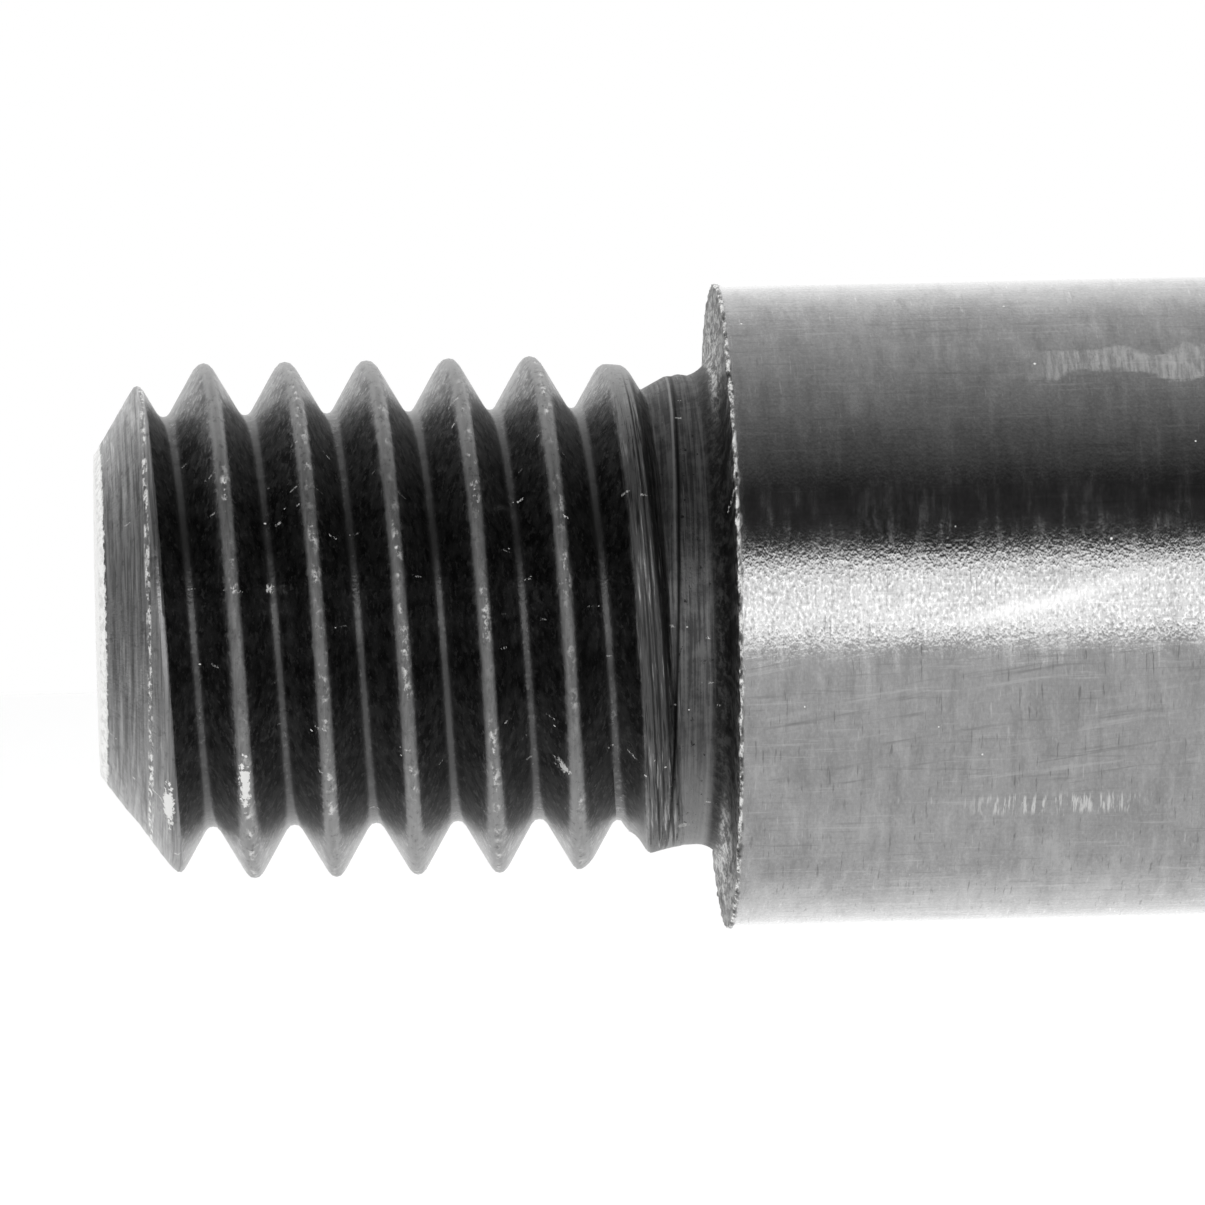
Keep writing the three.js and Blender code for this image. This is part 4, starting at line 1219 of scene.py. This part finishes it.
def nut_fittings():
    """Wipers, ball deflectors, and the brass pieces, the locknut's pad among them."""
    plastic = plastic_material("wiper_plastic", (0.025, 0.025, 0.027), 0.42, 1.4)
    for name, start, way in (
        ("nut_wiper_rear", NUT_FROM + 0.25, 1), ("nut_wiper_front", NUT_TO - 0.25, -1),
    ):
        ring = turned("fine_" + name, [
            (start + way * 0.25, 8.0), (start, 8.25), (start, 8.9), (start + way * 0.5, 9.3),
            (start + way * 0.5, 10.0), (start, 10.3), (start, 10.95), (start + way * 3.6, 10.95),
            (start + way * 3.6, 8.6), (start + way * 2.6, 8.0),
        ], edge=0.18)
        finish_piece(ring, "nut", [name], plastic)
    plug = plastic_material("deflector_plastic", (0.05, 0.052, 0.057), 0.38, 0.9)
    for k, place in enumerate(crossing_places()):
        levels = [
            (11.4, 1, 0), (13.35, 1, 0), (13.62, 1, -0.12), (13.7, 1, -0.4), (13.7, 1, -1.6),
            (13.55, 1, -1.8), (13.55, 0.9, -2.3), (13.55, 0.5, -2.4), (13.55, 0.15, -2.4),
        ]
        piece = oval_rows(f"fine_ball_deflector_{k + 1}", levels, place)
        finish_piece(piece, "nut", [f"ball_deflector_{k + 1}"], plug)
    flat = FLANGE_FLAT
    rows = [(flat - 5, 0), (flat - 5, 2.7), (flat - 4.7, 2.95), (flat + 0.3, 2.95)]
    rows += hex_rows(120, 7.0, flat + 0.3, flat + 3.5, 3.35, 0.1)
    rows += [
        (flat + 3.6, 2.75), (flat + 4.8, 2.5), (flat + 5.3, 1.95), (flat + 5.6, 1.62),
        (flat + 6.2, 1.6), (flat + 6.5, 1.8), (flat + 6.9, 2.25), (flat + 7.3, 2.42),
        (flat + 7.7, 2.3), (flat + 8.1, 1.9), (flat + 8.4, 1.45), (flat + 8.5, 1.1),
        (flat + 8.45, 0.75), (flat + 7.9, 0.6), (flat + 7.8, 0),
    ]
    nipple = rings("fine_grease_nipple", rows, False, outward(180, NIPPLE_X), 120, 40)
    brass = metal_material("brass", (0.62, 0.43, 0.17), (0.7, 0.5, 0.22), (0.2, 0.36), 9.0)
    finish_piece(nipple, "nut", ["grease_nipple"], brass)
    pad = turned("fine_locknut_pad", [(6.25, 0), (6.25, 1.5), (7.05, 1.5), (7.05, 0)],
                 closed=False, frame=outward(90, LOCKNUT_MIDDLE), columns=64, edge=0.1)
    finish_piece(pad, "screw", ["locknut_pad"], brass)


def sphere(name, centre, radius):
    """A smooth ball, at a centre and of a radius in millimetres."""
    work = bmesh.new()
    bmesh.ops.create_icosphere(work, subdivisions=3, radius=radius * MM)
    bmesh.ops.translate(work, verts=work.verts, vec=Vector(centre) * MM)
    mesh = bpy.data.meshes.new(name)
    work.to_mesh(mesh)
    work.free()
    mesh.polygons.foreach_set("use_smooth", [True] * len(mesh.polygons))
    return link_object(name, mesh)


def nut_balls():
    """The balls of both circuits, where the CAD has them."""
    polished = new_material("bearing_steel", bearing_steel)
    for circuit in (1, 2):
        for k in range(1, 17):
            node = f"nut_ball_{circuit}_{k:02d}"
            low, high = span(node)
            piece = sphere("fine_" + node, (low + high) / 2, NUT_BALL_R)
            finish_piece(piece, "nut", [node], polished)


# ---- Bearing unit ----

HOUSING_HALF = 12.5
BEARING_WIDTH = 7.7
BEARING_STARTS = {"a": -7.85, "b": 0.15}
BEARING_R = 14.0
BEARING_BALLS = 10
BEARING_BALL_R = 2.381
BALL_PATH_R = 10.0  # from the screw's axis to the balls' centres
RACE_R = 2.62  # of the grooves' sections
INNER_LAND_R = 8.7
OUTER_LAND_R = 11.4
CAP_OUT = 17.5
CAP_SCREW_SIDE = 13.2
LOCKNUT_MIDDLE = 23.5


def housing():
    """The block that holds the bearings, with its bolt holes and pin holes."""
    side, shoulder, block, top = 30.0, 32.5, 17.5, 43.0
    outline = [
        (-side + 1, 0), (side - 1, 0), (side, 1), (side, shoulder - 1),
        (side - 1, shoulder), (block, shoulder), (block, top - 3), (block - 3, top),
        (-block + 3, top), (-block, top - 3), (-block, shoulder),
        (-side + 1, shoulder), (-side, shoulder - 1), (-side, 1),
    ]
    piece = prism("fine_support_housing", outline, -HOUSING_HALF, HOUSING_HALF)
    tools = [drill(
        about_screw(), 160,
        (-HOUSING_HALF - 1, 11.1), (-8.3, 11.1), (-8.3, BEARING_R + 0.1),
        (HOUSING_HALF + 1, BEARING_R + 0.1),
    )]
    upright = Matrix.Rotation(-math.pi / 2, 4, "Y")
    for y in (-23.0, 23.0):
        bolt = [(-1, 3.3), (shoulder - 1.5, 3.3), (shoulder - 1.5, 5.4), (shoulder + 1, 5.4)]
        pin = [(-1, 2.75), (shoulder + 1, 2.75)]
        tools.append(drill(parallel(-6.5, y, 0) @ upright, 72, *bolt))
        tools.append(drill(parallel(6.5, y, 0) @ upright, 72, *pin))
    for y, z in cap_screw_places():
        tools.append(drill(parallel(0, y, z), 32, (4.5, 1.6), (HOUSING_HALF + 1, 1.6)))
    cut(piece, *tools)
    ease(piece, 0.25)
    oxide = new_material("black_oxide", black_oxide)
    finish_piece(piece, "support", ["support_housing"], oxide)


def cap_screw_places():
    """The y and z of the bearing cap's four screws."""
    s = CAP_SCREW_SIDE
    return [(y, AXIS_Z + z) for y, z in ((s, s), (-s, s), (-s, -s), (s, -s))]


def rounded_square(columns, half, corner):
    """Radius of a square with rounded corners in each direction."""
    theta = circle(columns)
    c, s = np.abs(np.cos(theta)), np.abs(np.sin(theta))
    flat = half / np.maximum(c, s)
    inner = half - corner
    middle = inner * (c + s)
    round_part = middle + np.sqrt(np.clip(middle**2 - 2 * inner**2 + corner**2, 0, None))
    on_flat = np.minimum(c, s) / np.maximum(c, s) * half <= inner
    return np.where(on_flat, flat, round_part)


def bearing_cap():
    """The square cover that clamps the bearings, with counterbored screw holes."""
    columns = 240
    inside, outside = HOUSING_HALF + 0.1, CAP_OUT
    bore = soften([
        (8.3, 14.0), (8.3, 11.6), (12.5, 11.6), (12.6, 9.8), (13.8, 9.8), (13.8, 11.1),
        (outside, 11.1),
    ], False, 0.15)
    square = rounded_square(columns, 17.0, 5.0)
    edge = [(0.0, 0.45), (0.06, 0.2), (0.2, 0.06), (0.45, 0.0)]
    rows = bore + [(outside - down, square - back) for down, back in edge]
    rows += [(inside + down, square - back) for down, back in reversed(edge)]
    rows += [(inside, 14.3), (inside - 0.15, 14.0)]
    piece = rings("fine_bearing_cap", rows, True, about_screw(), columns)
    tools = []
    for y, z in cap_screw_places():
        tools.append(drill(
            parallel(0, y, z), 64,
            (11, 1.7), (outside - 3.3, 1.7), (outside - 3.3, 3.05), (outside - 0.15, 3.05),
            (outside + 0.05, 3.25), (outside + 1, 3.25),
        ))
    cut(piece, *tools)
    oxide = new_material("black_oxide", black_oxide)
    finish_piece(piece, "support", ["bearing_cap"], oxide)


def fasteners():
    """The cap's four screws, then the locknut and its set screw."""
    dark, light = (0.012, 0.012, 0.013), (0.05, 0.05, 0.052)
    black = metal_material("black_fastener", dark, light, (0.28, 0.45), 6.0)
    for k, (y, z) in enumerate(cap_screw_places()):
        screw = socket_screw(f"fine_cap_screw_{k + 1}", 7.3, 14.3, 17.3, 1.5, 2.75, 2.5, 1.5,
                             parallel(0, y, z))
        finish_piece(screw, "support", [f"cap_screw_{k + 1}"], black)
    columns = 240
    start, end = 18.3, 29.0
    hexagon = hex_rows(columns, 19.0, start, end, 10.15, 0.15)
    bore = [(end, 6.5), (end - 0.45, 6.05), (start + 0.45, 6.05), (start, 6.5)]
    nut = rings("fine_locknut", hexagon + bore, True, about_screw(), columns)
    set_screw_at = outward(90, LOCKNUT_MIDDLE)
    cut(nut, drill(set_screw_at, 64, (6.5, 2.05), (9.35, 2.05), (9.6, 2.3), (12, 2.3)))
    finish_piece(nut, "screw", ["locknut"], black)
    hole = hex_radius(96, 2.0, 0.04)
    rows = [
        (7.4, 0), (7.4, 1.7), (7.7, 1.98), (9.1, 1.98), (9.4, 1.72), (9.4, hole + 0.12),
        (9.3, hole), (8.2, hole), (8.05, 0.2), (8.0, 0),
    ]
    grub = rings("fine_locknut_set_screw", rows, False, set_screw_at, 96)
    finish_piece(grub, "screw", ["locknut_set_screw"], black)


def collars_and_seals():
    """The spacers on both sides of the bearings, and the lip seals that run on them."""
    dark, light = (0.36, 0.36, 0.37), (0.5, 0.5, 0.51)
    collar = metal_material("collar_steel", dark, light, (0.16, 0.32), 14.0)
    for name, start, end in (("collar_inboard", -17.7, -8.0), ("collar_outboard", 8.3, 17.7)):
        ring = turned("fine_" + name, [(start, 6.1), (start, 9), (end, 9), (end, 6.1)], edge=0.5)
        finish_piece(ring, "screw", [name], collar)
    rubber = plastic_material("seal_rubber", (0.011, 0.011, 0.012), 0.5, 2.2)
    for name, start, end, out in (
        ("seal_inboard", -12.2, -9.1, -1), ("seal_outboard", 14.1, 17.2, 1),
    ):
        face, back = (start, end) if out < 0 else (end, start)
        ring = turned("fine_" + name, [
            (back, 11.0), (face, 11.0), (face, 10.4), (face - out * 0.35, 10.1),
            (face - out * 0.35, 9.75), (face, 9.5), (face, 9.28), (face - out * 0.5, 9.25),
            (face - out * 0.9, 9.45), (back + out * 0.4, 9.6), (back, 9.8),
        ], edge=0.12)
        finish_piece(ring, "support", [name], rubber)


def bearings():
    """Two bearings: inner and outer rings with a race, a cage with pockets, and its balls."""
    steel = new_material("bearing_steel", bearing_steel)
    plastic = plastic_material("cage_plastic", (0.5, 0.37, 0.19), 0.4, 1.0)
    inner_open = math.degrees(math.acos((BALL_PATH_R - INNER_LAND_R) / RACE_R))
    outer_open = math.degrees(math.acos((OUTER_LAND_R - BALL_PATH_R) / RACE_R))
    for key, start in BEARING_STARTS.items():
        end = start + BEARING_WIDTH
        middle = (start + end) / 2
        inner_race = arc(middle, BALL_PATH_R, RACE_R, 270 - inner_open, 270 + inner_open, 14)
        outer_race = arc(middle, BALL_PATH_R, RACE_R, 90 + outer_open, 90 - outer_open, 14)
        inner = turned(f"fine_bearing_{key}_inner_ring", [
            (start, SEAT_R), (start, INNER_LAND_R), *inner_race, (end, INNER_LAND_R), (end, SEAT_R),
        ], edge=0.3)
        finish_piece(inner, "screw", [f"bearing_{key}_inner_ring"], steel)
        outer = turned(f"fine_bearing_{key}_outer_ring", [
            (start, BEARING_R), (start, OUTER_LAND_R), *outer_race,
            (end, OUTER_LAND_R), (end, BEARING_R),
        ], edge=0.3)
        finish_piece(outer, "support", [f"bearing_{key}_outer_ring"], steel)
        cage = turned(f"fine_bearing_{key}_cage", [
            (middle - 3.1, 9.2), (middle - 3.1, 10.6), (middle + 3.1, 10.6), (middle + 3.1, 9.2),
        ], edge=0.25)
        centres = on_axis(middle, BALL_PATH_R, circle(BEARING_BALLS))
        cut(cage, *[sphere("tool", c, 2.5) for c in centres])
        finish_piece(cage, f"cage_{key}", [f"bearing_{key}_cage"], plastic)
        for k, centre in enumerate(centres):
            ball = sphere(f"bearing_{key}_ball_{k + 1:02d}", centre, BEARING_BALL_R)
            finish_piece(ball, f"cage_{key}", [], steel)


# ---- Studio ----


# How bright the studio is in each direction round the screw, in degrees up from -Y.
LIGHT_ROUND_SCREW = (
    (-180, 1.9), (-150, 1.3), (-110, 0.72), (-60, 0.66), (-15, 0.68), (-10.5, 1.75), (12, 1.6),
    (20, 0.03), (42, 0.03), (62, 0.15), (90, 0.38), (120, 0.62), (150, 1.2), (180, 1.7),
)


def studio_world():
    """A white studio whose light changes with height round the screw, as a lit macro
    bench does: a lamp round the lens, a dark gap above it and white paper behind."""
    world = bpy.data.worlds.new("studio")
    bpy.context.scene.world = world
    world.use_nodes = True
    g = Graph(world.node_tree)
    direction = g.node("ShaderNodeTexCoord").outputs["Generated"]
    split = g.node("ShaderNodeSeparateXYZ", {"Vector": direction})
    x, y, z = split.outputs
    turn = g.math("ARCTAN2", z, g.times(y, -1.0))
    share = g.plus(g.over(turn, TAU), 0.5)
    light = g.ramp(share, [((angle + 180) / 360, level) for angle, level in LIGHT_ROUND_SCREW])
    beside = g.spread(g.math("ABSOLUTE", x), 0.3, 0.7)
    behind = g.spread(y, -0.1, 0.2)
    level = g.times(g.spread(z, -0.3, -0.2), g.spread(z, 0.45, 0.3))
    dim = g.times(g.times(beside, behind), g.times(level, 0.8))
    light = g.mix(dim, light, 0.0)
    path = g.node("ShaderNodeLightPath").outputs
    matte = g.mix(path["Is Diffuse Ray"], light, 1.13)
    seen = g.mix(path["Is Camera Ray"], matte, 1.0)
    background = g.node("ShaderNodeBackground", {"Color": seen, "Strength": 1.0})
    g.finish("ShaderNodeOutputWorld", background)


def studio_floor():
    """A plain pale floor, which the glossy steel doesn't see."""
    half = 4000.0
    corners = [(-half, -half, 0), (half, -half, 0), (half, half, 0), (-half, half, 0)]
    floor = make_object("floor", corners, [[0, 1, 2, 3]])
    floor.data.materials.append(new_material("floor_paper", lambda g: (0.9, 0.0, 0.9)))
    floor.visible_glossy = False


def studio_key():
    """A wide soft lamp overhead, which lights the floor and leaves no highlight."""
    lamp = bpy.data.lights.new("key", "AREA")
    lamp.shape = "SQUARE"
    lamp.size = 1.6
    lamp.energy = 5.0
    holder = link_object("key", lamp)
    holder.location = (0.1, -0.5, 1.6)
    holder.rotation_euler = (math.radians(18), 0, 0)
    holder.visible_camera = False
    holder.visible_glossy = False


def studio_camera():
    """The camera stands level with the screw, slightly towards its free end."""
    distance = 201.4
    yaw = math.radians(2.9)
    roll = math.radians(1.3)
    frame_width = 18.47
    centre_x = SHOULDER_X - 1.79
    centre_z = AXIS_Z + 0.104
    camera = bpy.data.cameras.new("camera")
    camera.sensor_width = 36.0
    camera.lens = 36.0 * distance / frame_width
    camera.clip_start = 0.005
    camera.clip_end = 50.0
    holder = link_object("camera", camera)
    look = Vector((math.sin(yaw), math.cos(yaw), 0.0))
    target = Vector((centre_x, 0.0, centre_z))
    side = look.cross(Vector((0, 0, 1)))
    up = Vector((0, 0, 1)) * math.cos(roll) + side * math.sin(roll)
    right = look.cross(up)
    turn = Matrix((right, up, -look)).transposed()
    holder.matrix_world = Matrix.Translation((target - look * distance) * MM) @ turn.to_4x4()
    bpy.context.scene.camera = holder


def studio():
    studio_world()
    studio_floor()
    studio_key()
    studio_camera()
    bpy.context.scene.view_settings.view_transform = "Standard"
    bpy.context.scene.view_settings.look = "None"


free_end()
ball_thread()
drive_end()
nut_body()
nut_fittings()
nut_balls()
housing()
bearing_cap()
fasteners()
collars_and_seals()
bearings()
studio()
